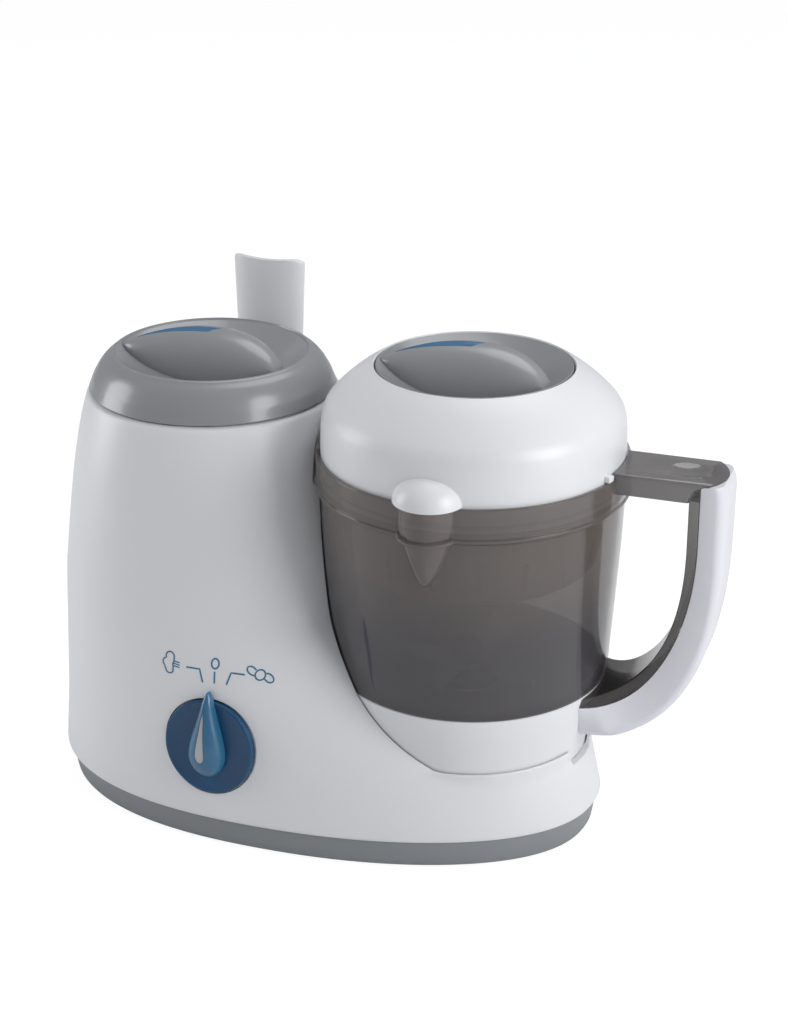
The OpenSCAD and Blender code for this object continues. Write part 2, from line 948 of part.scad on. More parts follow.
module spindle_bush() {
  color([0.7, 0.55, 0.3])
    translate([bowl_x, 0, shelf_height - 11])
      difference() {
        union() {
          cylinder(r = 10, h = 11);
          cylinder(r = 13, h = 11 - shell_wall);
        }
        translate([0, 0, -1])
          cylinder(r = spindle_radius + running_clearance, h = 20);
      }
}

module spindle_shaft() {
  color("silver")
    translate([bowl_x, 0, plate_top + 2])
      cylinder(r = spindle_radius, h = dog_mid - plate_top - 2);
}

module drive_dog() {
  color([0.15, 0.15, 0.16])
    translate([bowl_x, 0, 0]) {
      translate([0, 0, dog_base])
        tube(dog_radius, spindle_radius, dog_mid - dog_base);
      translate([0, 0, dog_mid - 0.1])
        dog_teeth(0);
    }
}

plunger_x = -34;
plunger_radius = 2.2;

module safety_plunger() {
  color([0.8, 0.3, 0.2])
    translate([bowl_x + plunger_x, 0, shelf_height - 12])
      difference() {
        union() {
          cylinder(r = plunger_radius, h = 12);
          cylinder(r = plunger_radius + 1.6, h = 2);
        }
      }
}

module safety_switch() {
  color([0.15, 0.15, 0.15])
    translate([bowl_x + plunger_x, 0, 0])
      difference() {
        translate([-7, -12, shelf_height - shell_wall - 17.5])
          cube([14, 24, 17.5]);
        translate([0, 0, shelf_height - 13.3])
          cylinder(r = plunger_radius + 2, h = 20);
      }
}

// ---------- Bowl, ring and handle ----------

module spout_section(scale_out) {
  inner = bowl_top_radius - 8;
  intersection() {
    translate([0, -inner])
      scale([spout_half_width * scale_out, (spout_reach - inner) * scale_out])
        circle(r = 1, $fn = 40);
    translate([-30, -spout_reach - 10])
      square([60, spout_reach]);
  }
}

// Outline of the spout at a share of its height, 0 at the tip and 1 at the mouth
function spout_ring(z, inset) =
  let (
    share = pow(max((z - spout_bottom) / (ledge_height + 4 - spout_bottom), 0), 0.55),
    grown = min(share, 1),
    root = 56,
    half = spout_half_width * (0.25 + 0.75 * grown) - inset,
    out = (spout_reach - root) * (0.5 + 0.5 * grown) - inset
  )
  [for (i = [0 : 31]) [half * cos(360 * i / 32), -root + out * sin(360 * i / 32), z]];

spout_levels = [0, 0.04, 0.12, 0.25, 0.45, 0.7, 1];

module spout(inset, top) {
  low = spout_bottom + inset;
  high = ledge_height + 4;
  loft(concat(
    [for (s = spout_levels) spout_ring(low + (high - low) * s, inset)],
    [[for (p = spout_ring(high, inset)) [p[0], p[1], top]]]
  ));
}

inlet_angle = 180 - bowl_yaw;
// Outer radius of the part of the bowl that sits inside the ring
socket_radius = ring_top_radius - 1.5;

module bowl() {
  color(smoke)
    at_bowl()
      difference() {
        union() {
          rotate_extrude()
            polygon(concat(
              [
                [0, bowl_floor_height], [socket_radius - 4.5, bowl_floor_height],
                [socket_radius - 1.8, bowl_floor_height + 6], [socket_radius, ring_top_height]
              ],
              bowl_side(ring_top_height, bowl_shoulder),
              [
                [bead_radius, ledge_height - 2], [bead_radius, ledge_height - 0.4],
                [collar_radius, ledge_height + 0.4], [collar_radius, collar_top], [0, collar_top]
              ]
            ));
          difference() {
            spout(0, collar_top);
            cylinder(r = bowl_top_radius - 4, h = 300);
          }
        }
        // inside of the bowl and of the collar
        rotate_extrude()
          polygon(concat(
            [
              [0, bowl_inside_floor], [socket_radius - 11, bowl_inside_floor],
              [socket_radius - bowl_wall - 1.6, bowl_inside_floor + 6],
              [socket_radius - bowl_wall + 0.4, ring_top_height + 2]
            ],
            bowl_side(ring_top_height + 10, bowl_shoulder, -bowl_wall),
            [
              [bowl_top_radius - bowl_wall, ledge_height], [collar_inner, ledge_height],
              [collar_inner, collar_top + 1], [0, collar_top + 1]
            ]
          ));
        spout(bowl_wall, collar_top + 1);
        // bore for the blade bush
        translate([0, 0, bowl_floor_height - 10])
          cylinder(r = bush_radius + running_clearance, h = 30);
        // steam inlet under the ledge
        rotate([0, 0, inlet_angle])
          translate([40, 0, steam_height])
            rotate([0, 90, 0])
              cylinder(r = 3.5, h = 60);
      }
}

module bowl_ring() {
  top = ring_top_height - seam_gap;
  color(white)
    at_bowl()
      rotate_extrude()
        polygon(concat(
          [[ring_bottom_radius - 1, ring_bottom]],
          bowl_side(ring_bottom + 0.8, top),
          [
            [socket_radius + 0.1, top], [socket_radius - 1.7, bowl_floor_height + 6],
            [socket_radius - 4.4, bowl_floor_height - 0.1],
            [20, bowl_floor_height - 0.1], [20, bowl_floor_height - 3]
          ],
          reversed(bowl_side(ring_bottom, bowl_floor_height - 3, -2.4))
        ));
}

// Lower right quarter of a rounded handle outline, seen from the front
arm_centre_x = 50;
arm_centre_z = 150;
function arm_curve(reach, depth, power, steps = 16) = [
  for (i = [0 : steps])
    let (turn = 90 * i / steps, a = reach - arm_centre_x, b = arm_centre_z - depth)
    [arm_centre_x + a * pow(cos(turn), 2 / power), arm_centre_z - b * pow(sin(turn), 2 / power)]
];

window_bottom = handle_bottom + 23.5;
frame_bottom = handle_bottom + 14.5;
handle_root = 46;

// How the root of the handle narrows away from the ring, as reach and share of the extra width
root_flare = [[46, 1.1], [54, 1], [57, 0.83], [61, 0.6], [66, 0.39], [72, 0.2], [80, 0.06], [90, 0]];

// Handle material between two widths: wide at the thumb plate, narrow at the arm and wide at the root
module handle_width() {
  extra = root_half_width - arm_half_width;
  rotate([90, 0, 90])
    linear_extrude(200)
      polygon([
        [-arm_half_width, handle_bottom - 5], [arm_half_width, handle_bottom - 5],
        [arm_half_width, frame_bottom + 20], [thumb_half_width, thumb_bottom],
        [thumb_half_width, thumb_top + 5], [-thumb_half_width, thumb_top + 5],
        [-thumb_half_width, thumb_bottom], [-arm_half_width, frame_bottom + 20]
      ]);
  intersection() {
    translate([0, 0, handle_bottom - 5])
      linear_extrude(60)
        polygon(concat(
          [for (f = root_flare) [f[0], arm_half_width + extra * f[1]]],
          reversed([for (f = root_flare) [f[0], -arm_half_width - extra * f[1]]])
        ));
    rotate([90, 0, 90])
      linear_extrude(200)
        polygon([
          for (side = [1, -1])
            let (points = [
              [0.5, handle_bottom - 1], [0.66, handle_bottom + 5], [0.86, handle_bottom + 10],
              [1, handle_bottom + 16], [1.02, handle_bottom + 21], [0.88, handle_bottom + 26],
              [0.66, handle_bottom + 33], [0.42, handle_bottom + 39]
            ])
            each [
              for (q = side > 0 ? points : reversed(points))
                [side * q[0] * root_half_width, q[1]]
            ]
        ]);
  }
}

// Space of the bowl wall and collar that the handle stops at
module bowl_envelope(gap) {
  rotate_extrude()
    polygon(concat(
      [[0, 0], [bowl_radius(ring_bottom) + gap, 0]],
      bowl_side(ring_bottom + 0.8, bowl_shoulder, gap),
      [
        [bead_radius + gap, ledge_height - 2], [bead_radius + gap, ledge_height + 0.4],
        [collar_radius + gap, ledge_height + 0.4], [collar_radius + gap, 220], [0, 220]
      ]
    ));
}

module handle_side(points, half, grow = 0) {
  translate([0, half, 0])
    rotate([90, 0, 0])
      linear_extrude(2 * half)
        offset(delta = grow)
          polygon(points);
}

plate_end = shell_reach - 1.9;

// The thumb plate: full thickness up to the frame, then a lip that thins to its rounded end
module thumb_plate(grow = 0, lift = 0) {
  lip = plate_end - frame_reach;
  intersection() {
    handle_side(
      [
        [handle_root, thumb_top + lift], [plate_end - 1, thumb_top + lift],
        [plate_end, thumb_top + lift - 0.5], [plate_end - 0.2, thumb_top - 0.9],
        [plate_end - 0.32 * lip, thumb_bottom + 0.85 * thumb_thickness],
        [frame_reach + 0.26 * lip, thumb_bottom + 0.57 * thumb_thickness],
        [frame_reach + 0.07 * lip, thumb_bottom + 0.25 * thumb_thickness],
        [frame_reach, thumb_bottom], [handle_root, thumb_bottom]
      ],
      thumb_half_width + grow,
      grow
    );
    translate([0, 0, thumb_bottom - 2])
      linear_extrude(60)
        union() {
          translate([plate_end - 34, 0])
            scale([34 + grow, 26 + grow])
              circle(r = 1);
          translate([handle_root - 2, -30])
            square([plate_end - 32 - handle_root, 60]);
        }
  }
}

module handle_frame() {
  color(smoke)
    at_bowl()
      difference() {
        union() {
          intersection() {
            handle_side(
              concat(
                [[handle_root, thumb_top], [frame_reach, thumb_top]],
                arm_curve(frame_reach, frame_bottom, 2.1),
                [[handle_root, frame_bottom]]
              ),
              root_half_width + 2
            );
            handle_width();
          }
          thumb_plate();
        }
        handle_side(
          concat(
            [[handle_root - 10, thumb_bottom], [grip_reach, thumb_bottom]],
            arm_curve(grip_reach, window_bottom, 2.35),
            [[handle_root - 10, window_bottom]]
          ),
          root_half_width + 3
        );
        bowl_envelope(seam_gap);
        // shallow thumb hollow
        translate([plate_end - 22, 0, thumb_top + 24.6])
          sphere(r = 26);
      }
}

module handle_shell() {
  top = thumb_top - 1;
  color(white)
    at_bowl()
      difference() {
        intersection() {
          handle_side(
            concat(
              [[handle_root, top], [shell_reach - 1.6, top], [shell_reach - 0.4, top - 1.2]],
              arm_curve(shell_reach, handle_bottom, 2.4),
              [[handle_root, handle_bottom]]
            ),
            root_half_width + 2
          );
          handle_width();
        }
        handle_side(
          concat(
            [[handle_root - 10, thumb_top + 1], [frame_reach + seam_gap, thumb_top + 1]],
            arm_curve(frame_reach + seam_gap, frame_bottom - seam_gap, 2.1),
            [[handle_root - 10, frame_bottom - seam_gap]]
          ),
          root_half_width + 3
        );
        thumb_plate(seam_gap, 4);
        bowl_envelope(seam_gap);
      }
}

// ---------- Blades and basket ----------

shaft_radius = 3.5;
bush_bottom = bowl_floor_height - 5;
bush_top = bowl_inside_floor + 4;
hub_bottom = bush_top + moving_gap;
hub_top = hub_bottom + 20;
driven_dog_top = dog_mid + dog_tooth + moving_gap + 3;

module blade_bush() {
  color([0.75, 0.73, 0.7])
    translate([bowl_x, 0, bush_bottom])
      difference() {
        union() {
          cylinder(r = bush_radius, h = bush_top - bush_bottom);
          cylinder(r = bush_radius + 2, h = bowl_floor_height - bush_bottom - moving_gap);
        }
        translate([0, 0, -1])
          cylinder(r = shaft_radius + running_clearance, h = 40);
      }
}

module blade_shaft() {
  color("silver")
    translate([bowl_x, 0, 0]) {
      translate([0, 0, dog_mid + moving_gap + 2])
        cylinder(r = shaft_radius, h = hub_top - 4 - dog_mid - moving_gap - 2);
      translate([0, 0, driven_dog_top - 3.1])
        cylinder(r = dog_radius, h = 3.1);
      translate([0, 0, dog_mid + moving_gap])
        dog_teeth(60);
    }
}

module blade_hub() {
  color([0.2, 0.2, 0.22])
    translate([bowl_x, 0, 0])
      difference() {
        rotate_extrude()
          polygon([
            [0, hub_bottom], [13, hub_bottom], [13, hub_bottom + 2.5], [8.5, hub_bottom + 6],
            [6, hub_top - 3], [3, hub_top], [0, hub_top]
          ]);
        translate([0, 0, hub_bottom - 1])
          cylinder(r = shaft_radius, h = hub_top - 4 - hub_bottom + 1);
      }
}

// One blade, a swept wing with a straight root in the hub
module blade(tilt) {
  rotate([tilt, 0, 0])
    linear_extrude(blade_thickness)
      polygon([
        [7.5, -7], [24, -8.5], [36, -6], [blade_radius - 2, 2], [blade_radius - 3, 5],
        [30, 2.5], [18, 3.5], [7.5, 7]
      ]);
}

module blades() {
  color("silver")
    translate([bowl_x, 0, 0])
      difference() {
        for (level = [0, 1], side = [0, 180])
          translate([0, 0, hub_bottom + 5 + 6 * level])
            rotate([0, 0, side + 90 * level])
              blade(level == 0 ? -8 : 8);
        rotate_extrude()
          polygon([
            [0, hub_bottom], [13, hub_bottom], [13, hub_bottom + 2.5], [8.5, hub_bottom + 6],
            [6, hub_top - 3], [3, hub_top], [0, hub_top]
          ]);
      }
}

basket_rim_top = ledge_height + moving_gap + 1.8;
basket_bottom = basket_rim_top - basket_depth;
basket_draft = 5;

module steam_basket() {
  slot_low = basket_bottom + 6;
  slot_high = basket_rim_top - 18;
  color([0.9, 0.9, 0.88])
    at_bowl()
      difference() {
        rotate_extrude()
          polygon([
            [0, basket_bottom], [basket_radius - basket_draft - 2, basket_bottom],
            [basket_radius - basket_draft, basket_bottom + 2],
            [basket_radius, basket_rim_top - 12], [basket_radius, basket_rim_top - 1.8],
            [collar_inner - 1, basket_rim_top - 1.8], [collar_inner - 1, basket_rim_top],
            [basket_radius - basket_wall, basket_rim_top],
            [basket_radius - basket_wall, basket_rim_top - 12],
            [basket_radius - basket_draft - basket_wall, basket_bottom + basket_wall],
            [0, basket_bottom + basket_wall]
          ]);
        for (i = [0 : basket_slots - 1])
          rotate([0, 0, 360 * (i + 0.5) / basket_slots])
            translate([basket_radius - 12, -1.2, slot_low])
              cube([20, 2.4, slot_high - slot_low]);
        for (ring = [0 : 2], i = [0 : 5 + 6 * ring])
          rotate([0, 0, 360 * i / (6 + 6 * ring)])
            translate([14 + 14 * ring, 0, basket_bottom - 1])
              cylinder(r = 2.2, h = 5, $fn = 24);
        // steam inlet
        rotate([0, 0, inlet_angle])
          translate([40, 0, steam_height])
            rotate([0, 90, 0])
              cylinder(r = 3.5, h = 40);
      }
}

// ---------- Lid ----------

lid_bottom = basket_rim_top + 3;
dish_floor = lid_rim_height - grip_depth;
beak_bottom = collar_top + moving_gap;

module lid_seal() {
  color([0.85, 0.86, 0.86])
    at_bowl()
      translate([0, 0, basket_rim_top + moving_gap])
        tube(collar_inner - moving_gap, basket_radius - basket_wall + 1, lid_bottom - basket_rim_top - 2 * moving_gap);
}

// Height in the lid at a share of the way down from its rim to its lower edge
function lid_z(share) = lid_rim_height - share * (lid_rim_height - lid_bottom);

// Outside of the dome: distance inside its widest radius, and share of its height
dome_outside = [
  [22.6, -0.004], [19, 0.043], [16.1, 0.085], [13.5, 0.128], [11.1, 0.171], [8.9, 0.213],
  [6.8, 0.256], [4.9, 0.299], [3.2, 0.341], [2, 0.384], [1.2, 0.426], [0.8, 0.469],
  [0.5, 0.512], [0.3, 0.555], [0.15, 0.64], [0, 0.725]
];
dome_inside = [
  [2.3, 0.68], [2.5, 0.576], [3.3, 0.469], [5.1, 0.39], [7.7, 0.324], [11.4, 0.243],
  [15.8, 0.166], [20.6, 0.098]
];

module lid_dome() {
  color(white)
    at_bowl()
      difference() {
        union() {
          rotate_extrude()
            polygon(concat(
              [[grip_radius + 0.2, lid_rim_height - 0.3]],
              [for (d = dome_outside) [lid_radius - d[0], lid_z(d[1])]],
              [[lid_radius, lid_bottom], [lid_radius - lid_wall, lid_bottom]],
              [for (d = dome_inside) [lid_radius - d[0], lid_z(d[1])]],
              [[grip_radius + 0.2, lid_rim_height - 4]]
            ));
          beak();
          // locking tab that meets the front of the handle
          rotate([0, 0, -thumb_half_width - 2.2])
            translate([lid_radius - 2, -1.6, beak_bottom - 0.1])
              cube([5.4, 3.2, 3]);
        }
        // clear the inside of the dome behind the beak
        rotate_extrude()
          polygon([
            [0, lid_bottom - 1], [lid_radius - lid_wall, lid_bottom - 1],
            [lid_radius - 2.3, lid_z(0.68)], [lid_radius - 3.3, lid_z(0.469)], [0, lid_z(0.469)]
          ]);
      }
}

// Rounded cover over the spout
module beak() {
  hull() {
    for (level = [0 : 4]) {
      lift = 11 * sin(90 * level / 4);
      keep = cos(82 * level / 4);
      translate([0, -spout_reach + 15.5, beak_bottom + lift])
        scale([spout_half_width * keep + 0.8, 14.8 * keep + 0.8, 1])
          cylinder(r = 1, h = 0.6, $fn = 32);
    }
    translate([0, -56, beak_bottom])
      scale([spout_half_width, 6, 1])
        cylinder(r = 1, h = 12, $fn = 32);
  }
}

// Height of the dish floor at a share of the way out to its rim
function dish_z(share, rim, floor_z) = floor_z + (rim - floor_z) * pow(min(share, 1), 2.2);

// Grip dish: a round scooped hollow
module dish(radius, rim, floor_z, wall) {
  rotate_extrude()
    polygon(concat(
      [for (i = [0 : 14]) [(radius - 0.8) * i / 14, dish_z(i / 14, rim, floor_z)]],
      [[radius, rim], [radius, rim - 5], [radius - 6, rim - 7.5], [radius - 16, floor_z - wall + 1],
       [radius - 22, floor_z - wall], [0, floor_z - wall]]
    ));
}

// The grip ridge from its tip to its blunt end: place along it, near foot, far foot, height over the rim
ridge_lines = [
  [-40.5, -9.4, -7.4, -0.6], [-38, -11, -4.6, 0.7], [-35, -12.4, -1.2, 2.1], [-32, -13.3, 2, 3.3],
  [-28, -14.2, 5.8, 4.7], [-23, -14.8, 9.8, 6.1], [-18, -15, 12.8, 7.2], [-13, -15, 15.2, 8],
  [-8, -14.9, 16.8, 8.6], [-3, -14.7, 17.6, 8.9], [2, -14.5, 17.8, 9], [7, -14.2, 17.5, 8.9],
  [12, -13.8, 16.6, 8.3], [17, -13.2, 15, 7.4], [21, -12.6, 13, 6.2], [25, -11.7, 10.4, 4.6],
  [29, -10.4, 7, 2.4], [32, -9.2, 4, 0.1], [34.5, -8, 1, -2.8], [36.5, -6.6, -2, -6.4]
];
ridge_columns = [for (c = [1 : 3]) [for (l = ridge_lines) [l[0], l[c]]]];
function ridge_at(x, column) = lookup(x, ridge_columns[column - 1]);

// Foot of the ridge under the dish surface at a place along it
function ridge_foot(x, radius, rim, floor_z) =
  min(
    dish_z(min(norm([x, 13]), 40.5) / 42.5, rim, floor_z) - 1.6,
    rim + ridge_at(x, 3) * grip_rise / 9 - 1
  );

// Height of the ridge surface at a place along and across it
function ridge_z(x, y, radius, rim, floor_z) =
  let (
    near = ridge_at(x, 1), far = ridge_at(x, 2),
    foot = ridge_foot(x, radius, rim, floor_z),
    top = rim + ridge_at(x, 3) * grip_rise / 9,
    c = (y - (near + far) / 2) / ((far - near) / 2)
  )
  foot + (top - foot) * pow(max(1 - c * c, 0), 0.4);

// Drop shaped grip ridge along X
module ridge(radius, rim, floor_z) {
  size = radius / 42.5;
  count = 20;
  rings = [
    for (l = ridge_lines)
      let (x = l[0], mid = (l[1] + l[2]) / 2, half = (l[2] - l[1]) / 2)
      [
        for (i = [0 : count - 1])
          let (y = mid + half * cos(180 * i / (count - 1)))
          [x * size, y * size, i == 0 || i == count - 1 ? ridge_foot(x, radius, rim, floor_z) : ridge_z(x, y, radius, rim, floor_z)]
      ]
  ];
  last = len(rings) - 1;
  sides = [
    for (j = [0 : last - 1], i = [0 : count - 1])
      let (k = (i + 1) % count, a = j * count + i, b = j * count + k, c = b + count, d = a + count)
      each [[a, d, c], [a, c, b]]
  ];
  start = [for (i = [0 : count - 1]) i];
  finish = [for (i = [count - 1 : -1 : 0]) last * count + i];
  polyhedron(points = [for (ring = rings) each ring], faces = concat([start], sides, [finish]));
}

// Thin crescent let into the top of the ridge: place along it, middle, half width
crescent_lines = [
  [-33.5, -6, 0.25], [-28, -4.3, 0.9], [-22, -2.6, 1.5], [-16, -1, 1.95], [-10, 0.5, 2.25],
  [-4, 1.8, 2.45], [1.5, 3, 2.5]
];

module crescent(radius, rim, floor_z, proud = 0.15) {
  size = radius / 42.5;
  function corner(x, y, up) = [x * size, y * size, ridge_z(x, y, radius, rim, floor_z) + up];
  rings = [
    for (l = crescent_lines)
      let (slant = l[0] > 0 ? 2 : 0)
      [
        corner(l[0] - slant, l[1] - l[2], -1.4), corner(l[0] + slant, l[1] + l[2], -1.4),
        corner(l[0] + slant, l[1] + l[2], proud), corner(l[0] - slant, l[1] - l[2], proud)
      ]
  ];
  last = len(rings) - 1;
  sides = [
    for (j = [0 : last - 1], i = [0 : 3])
      let (k = (i + 1) % 4, a = 4 * j + i, b = 4 * j + k, c = b + 4, d = a + 4)
      each [[a, d, c], [a, c, b]]
  ];
  polyhedron(
    points = [for (ring = rings) each ring],
    faces = concat([[0, 1, 2, 3]], sides, [[4 * last + 3, 4 * last + 2, 4 * last + 1, 4 * last]])
  );
}

module lid_insert() {
  color(grey)
    translate([bowl_x, 0, 0])
      difference() {
        union() {
          dish(grip_radius, lid_rim_height, dish_floor, 2);
          intersection() {
            ridge(grip_radius, lid_rim_height, dish_floor);
            cylinder(r = grip_radius, h = 300);
          }
        }
        crescent(grip_radius, lid_rim_height, dish_floor, 1.5);
      }
}

module lid_inlay() {
  color([0.25, 0.46, 0.65])
    translate([bowl_x, 0, 0])
      crescent(grip_radius, lid_rim_height, dish_floor);
}

module lid_liner() {
  liner_z = dish_floor - 6;
  color([0.9, 0.9, 0.89])
    at_bowl()
      difference() {
        union() {
          translate([0, 0, liner_z - 2])
            cylinder(r = 57, h = 2);
          translate([0, 0, liner_z - 2])
            tube(12, 10, 5.7);
        }
        for (i = [0 : 7])
          rotate([0, 0, 45 * i])
            translate([42, 0, liner_z - 3])
              cylinder(r = 2.5, h = 5);
      }
}

// ---------- Tank cap ----------

cap_dish_radius = 43.2;
cap_dish_floor = cap_bottom + 2.6;

module tank_cap_seal() {
  color([0.85, 0.86, 0.86])
    at_tower()
      translate([0, 0, tower_height + neck_flange + 0.1])
        tube(neck_radius + neck_wall, neck_radius + 1, cap_bottom - tower_height - neck_flange + 0.9);
}

// Height in the cap at a share of the way down from its rim to the tower
function cap_z(share) = cap_rim_height - share * (cap_rim_height - tower_height);

// Outside of the cap: distance inside its widest radius, and share of its height
cap_outside = [
  [12.2, 0], [10.9, 0.012], [10, 0.059], [8.6, 0.118], [7.4, 0.176], [5.6, 0.294], [4.2, 0.412],
  [3.05, 0.529], [1.95, 0.647], [1.15, 0.765], [0.35, 0.882], [0, 0.93], [0.9, 0.972]
];
cap_inside = [[2.4, 0.972], [2.5, 0.85], [4, 0.676], [5.3, 0.512], [7.6, 0.341], [10, 0.235]];

module tank_cap() {
  color(grey)
    at_tower()
      difference() {
        union() {
          rotate_extrude()
            polygon(concat(
              [for (i = [0 : 14]) [(cap_dish_radius - 0.8) * i / 14, dish_z(i / 14, cap_rim_height - 1, cap_dish_floor)]],
              [for (c = cap_outside) [cap_radius - c[0], cap_z(c[1])]],
              [for (c = cap_inside) [cap_radius - c[0], cap_z(c[1])]],
              [[cap_dish_radius - 3, cap_z(0.4)], [cap_dish_radius - 12, cap_bottom + 1.5],
               [cap_dish_radius - 13.5, cap_bottom], [0, cap_bottom]]
            ));
          intersection() {
            ridge(cap_dish_radius, cap_rim_height, cap_dish_floor);
            cylinder(r = cap_dish_radius - 0.5, h = 300);
          }
          translate([0, 0, cap_bottom - 12])
            tube(neck_radius - 0.5, neck_radius - 3, 13);
          // landing of the cap on its seal
          translate([0, 0, cap_bottom])
            cylinder(r = neck_radius + neck_wall + 1, h = 2.6);
        }
        crescent(cap_dish_radius, cap_rim_height, cap_dish_floor, 1.5);
        translate([0, 0, cap_bottom - 1])
          tube(neck_radius + neck_wall + 0.3, neck_radius + 0.7, 2.2);
      }
}

module tank_cap_inlay() {
  color([0.25, 0.46, 0.65])
    at_tower()
      crescent(cap_dish_radius, cap_rim_height, cap_dish_floor);
}

// ---------- Spatula ----------

module spatula() {
  half = spatula_width / 2;
  low = channel_bottom + 0.3;
  front = channel_depth + 0.6;
  top = spatula_length;
  color(white)
    at_spatula()
      translate([0, front, low])
        intersection() {
          // hollow blade: an arc across its width
          translate([0, 28 + spatula_thickness, -1])
            difference() {
              cylinder(r = 28 + spatula_thickness - 0.01, h = top + 2);
              translate([0, 0, -1])
                cylinder(r = 28, h = top + 4);
            }
          // side outline that widens to rounded corners at the top
          rotate([90, 0, 0])
            translate([0, 0, -9])
              linear_extrude(10)
                polygon([
                  [-half + 6, 0], [half - 6, 0], [half - 4, 8], [half - 2.6, 60], [half - 1.2, 118],
                  [half, top - 2.5], [half - 0.7, top - 0.8], [half - 2.5, top],
                  [-half + 2.5, top], [-half + 0.7, top - 0.8], [-half, top - 2.5],
                  [-half + 1.2, 118], [-half + 2.6, 60], [-half + 4, 8]
                ]);
        }
}

body_shell();
base_skirt();
base_plate();
foot_ring();
base_screws();
motor_can();
motor_bracket();
water_tank();
tank_neck();
heating_plate();
thermostat();
steam_pipe();
steam_nozzle();
selector_switch();
indicator_lamp();
control_board();
cord_gland();
spatula_clip();
bearing_block();
spindle_bush();
drive_belt();
safety_switch();
safety_plunger();
motor_shaft();
motor_pulley();
spindle_shaft();
driven_pulley();
drive_dog();
knob_disc();
knob_pointer();
knob_lens();
knob_shaft();
tank_cap_seal();
tank_cap();
tank_cap_inlay();
blade_bush();
bowl();
bowl_ring();
handle_frame();
handle_shell();
blade_shaft();
blade_hub();
blades();
steam_basket();
lid_seal();
lid_dome();
lid_insert();
lid_inlay();
lid_liner();
spatula();
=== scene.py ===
"""Steam cooker and blender for baby food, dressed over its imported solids.

Numbers are millimetres in the frame of the solids: +X from the tower to the bowl, -Y the
front, +Z up, origin on the table under the middle of the base.
"""

import math

import bmesh
import bpy
from mathutils import Matrix, Vector


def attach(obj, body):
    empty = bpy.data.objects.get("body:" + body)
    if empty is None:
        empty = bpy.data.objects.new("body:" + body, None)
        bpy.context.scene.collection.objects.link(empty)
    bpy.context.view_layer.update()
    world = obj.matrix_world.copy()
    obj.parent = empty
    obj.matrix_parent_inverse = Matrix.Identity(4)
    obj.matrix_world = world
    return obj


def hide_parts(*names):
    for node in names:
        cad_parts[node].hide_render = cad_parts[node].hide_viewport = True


bl_info = {
    "name": "Baby food cooker",
    "version": (1, 0, 0),
    "blender": (4, 5, 0),
    "location": "View3D > Sidebar > Cooker",
    "description": "Builds a steam cooker and blender over its solids",
    "category": "Object",
}

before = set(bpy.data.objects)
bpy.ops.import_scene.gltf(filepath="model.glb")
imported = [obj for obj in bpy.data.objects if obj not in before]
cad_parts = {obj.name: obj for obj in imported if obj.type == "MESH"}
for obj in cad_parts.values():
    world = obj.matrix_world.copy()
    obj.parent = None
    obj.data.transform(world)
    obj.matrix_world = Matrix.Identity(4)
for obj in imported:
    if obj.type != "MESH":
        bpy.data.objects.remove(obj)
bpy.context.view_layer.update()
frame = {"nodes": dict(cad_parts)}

MM = 0.001
TAU = 2 * math.pi


# ---------------------------------------------------------------- settings


def length(name, text, value):
    """A size given in millimetres and held in metres, so that Blender shows its unit."""
    return bpy.props.FloatProperty(
        name=name, description=text, default=value * MM, unit="LENGTH", precision=4
    )


def tint(name, text, colour):
    return bpy.props.FloatVectorProperty(
        name=name, description=text, subtype="COLOR", size=3, default=colour
    )


class CookerSizes(bpy.types.PropertyGroup):
    base_length: length("Base length", "Length of the base at its seam", 260.6)
    base_width: length("Base width", "Width of the base at its seam", 163.0)
    tower_height: length("Tower height", "Top of the white tower", 186.0)
    tower_x: length("Tower place", "Place of the tower axis along X", -58.0)
    bowl_x: length("Bowl place", "Place of the bowl axis along X", 69.0)
    bowl_yaw: bpy.props.FloatProperty(
        name="Handle turn",
        description="Turn of the handle from the long axis",
        default=math.radians(5.5),
        subtype="ANGLE",
    )
    knob_radius: length("Knob radius", "Radius of the selector disc", 21.5)


class CookerColours(bpy.types.PropertyGroup):
    body: tint("Body", "White plastic of body and lid", (0.80, 0.81, 0.83))
    cap: tint("Caps", "Grey plastic of the grips", (0.29, 0.298, 0.315))
    skirt: tint("Skirt", "Grey plastic under the body", (0.27, 0.285, 0.30))
    # The two bowl tints below paint light and shade by height: the collar one is painted light,
    # the lower one painted shade below the basket.
    smoke: tint("Smoke", "Smoked bowl at its collar", (0.165, 0.142, 0.130))
    smoke_painted_shade: tint("Smoke below", "Smoked bowl below the basket", (0.095, 0.089, 0.097))
    # The thumb plate tint is painted light that lightens the frame towards its top.
    frame_top_painted_light: tint("Thumb plate", "Smoked frame at its thumb plate", (0.16, 0.15, 0.15))
    frame: tint("Handle frame", "Thick smoked frame", (0.034, 0.027, 0.025))
    basket: tint("Basket", "Smoked basket inside the bowl", (0.17, 0.13, 0.115))
    handle: tint("Handle", "White plastic of the handle", (0.77, 0.765, 0.82))
    disc: tint("Knob disc", "Dark blue of the disc", (0.004, 0.066, 0.165))
    pointer: tint("Pointer", "Lighter blue of the pointer", (0.032, 0.145, 0.27))
    inlay: tint("Inlay", "Blue of the inlays", (0.045, 0.17, 0.33))
    marks: tint("Marks", "Printed marks round the knob", (0.055, 0.19, 0.31))


def size(key):
    """A size in millimetres, without the noise of single precision."""
    return round(getattr(bpy.context.scene.cooker_sizes, key) / MM, 3)


def handle_turn():
    return math.radians(round(math.degrees(bpy.context.scene.cooker_sizes.bowl_yaw), 3))


# ---------------------------------------------------------------- outlines of the body

TOWER_TOP_RADIUS = 56.2
SEAM = 14.2
RIM = 46.0
SADDLE_REACH = 114.5
CRADLE_GAP = 0.7
LIP_WALL = 1.0

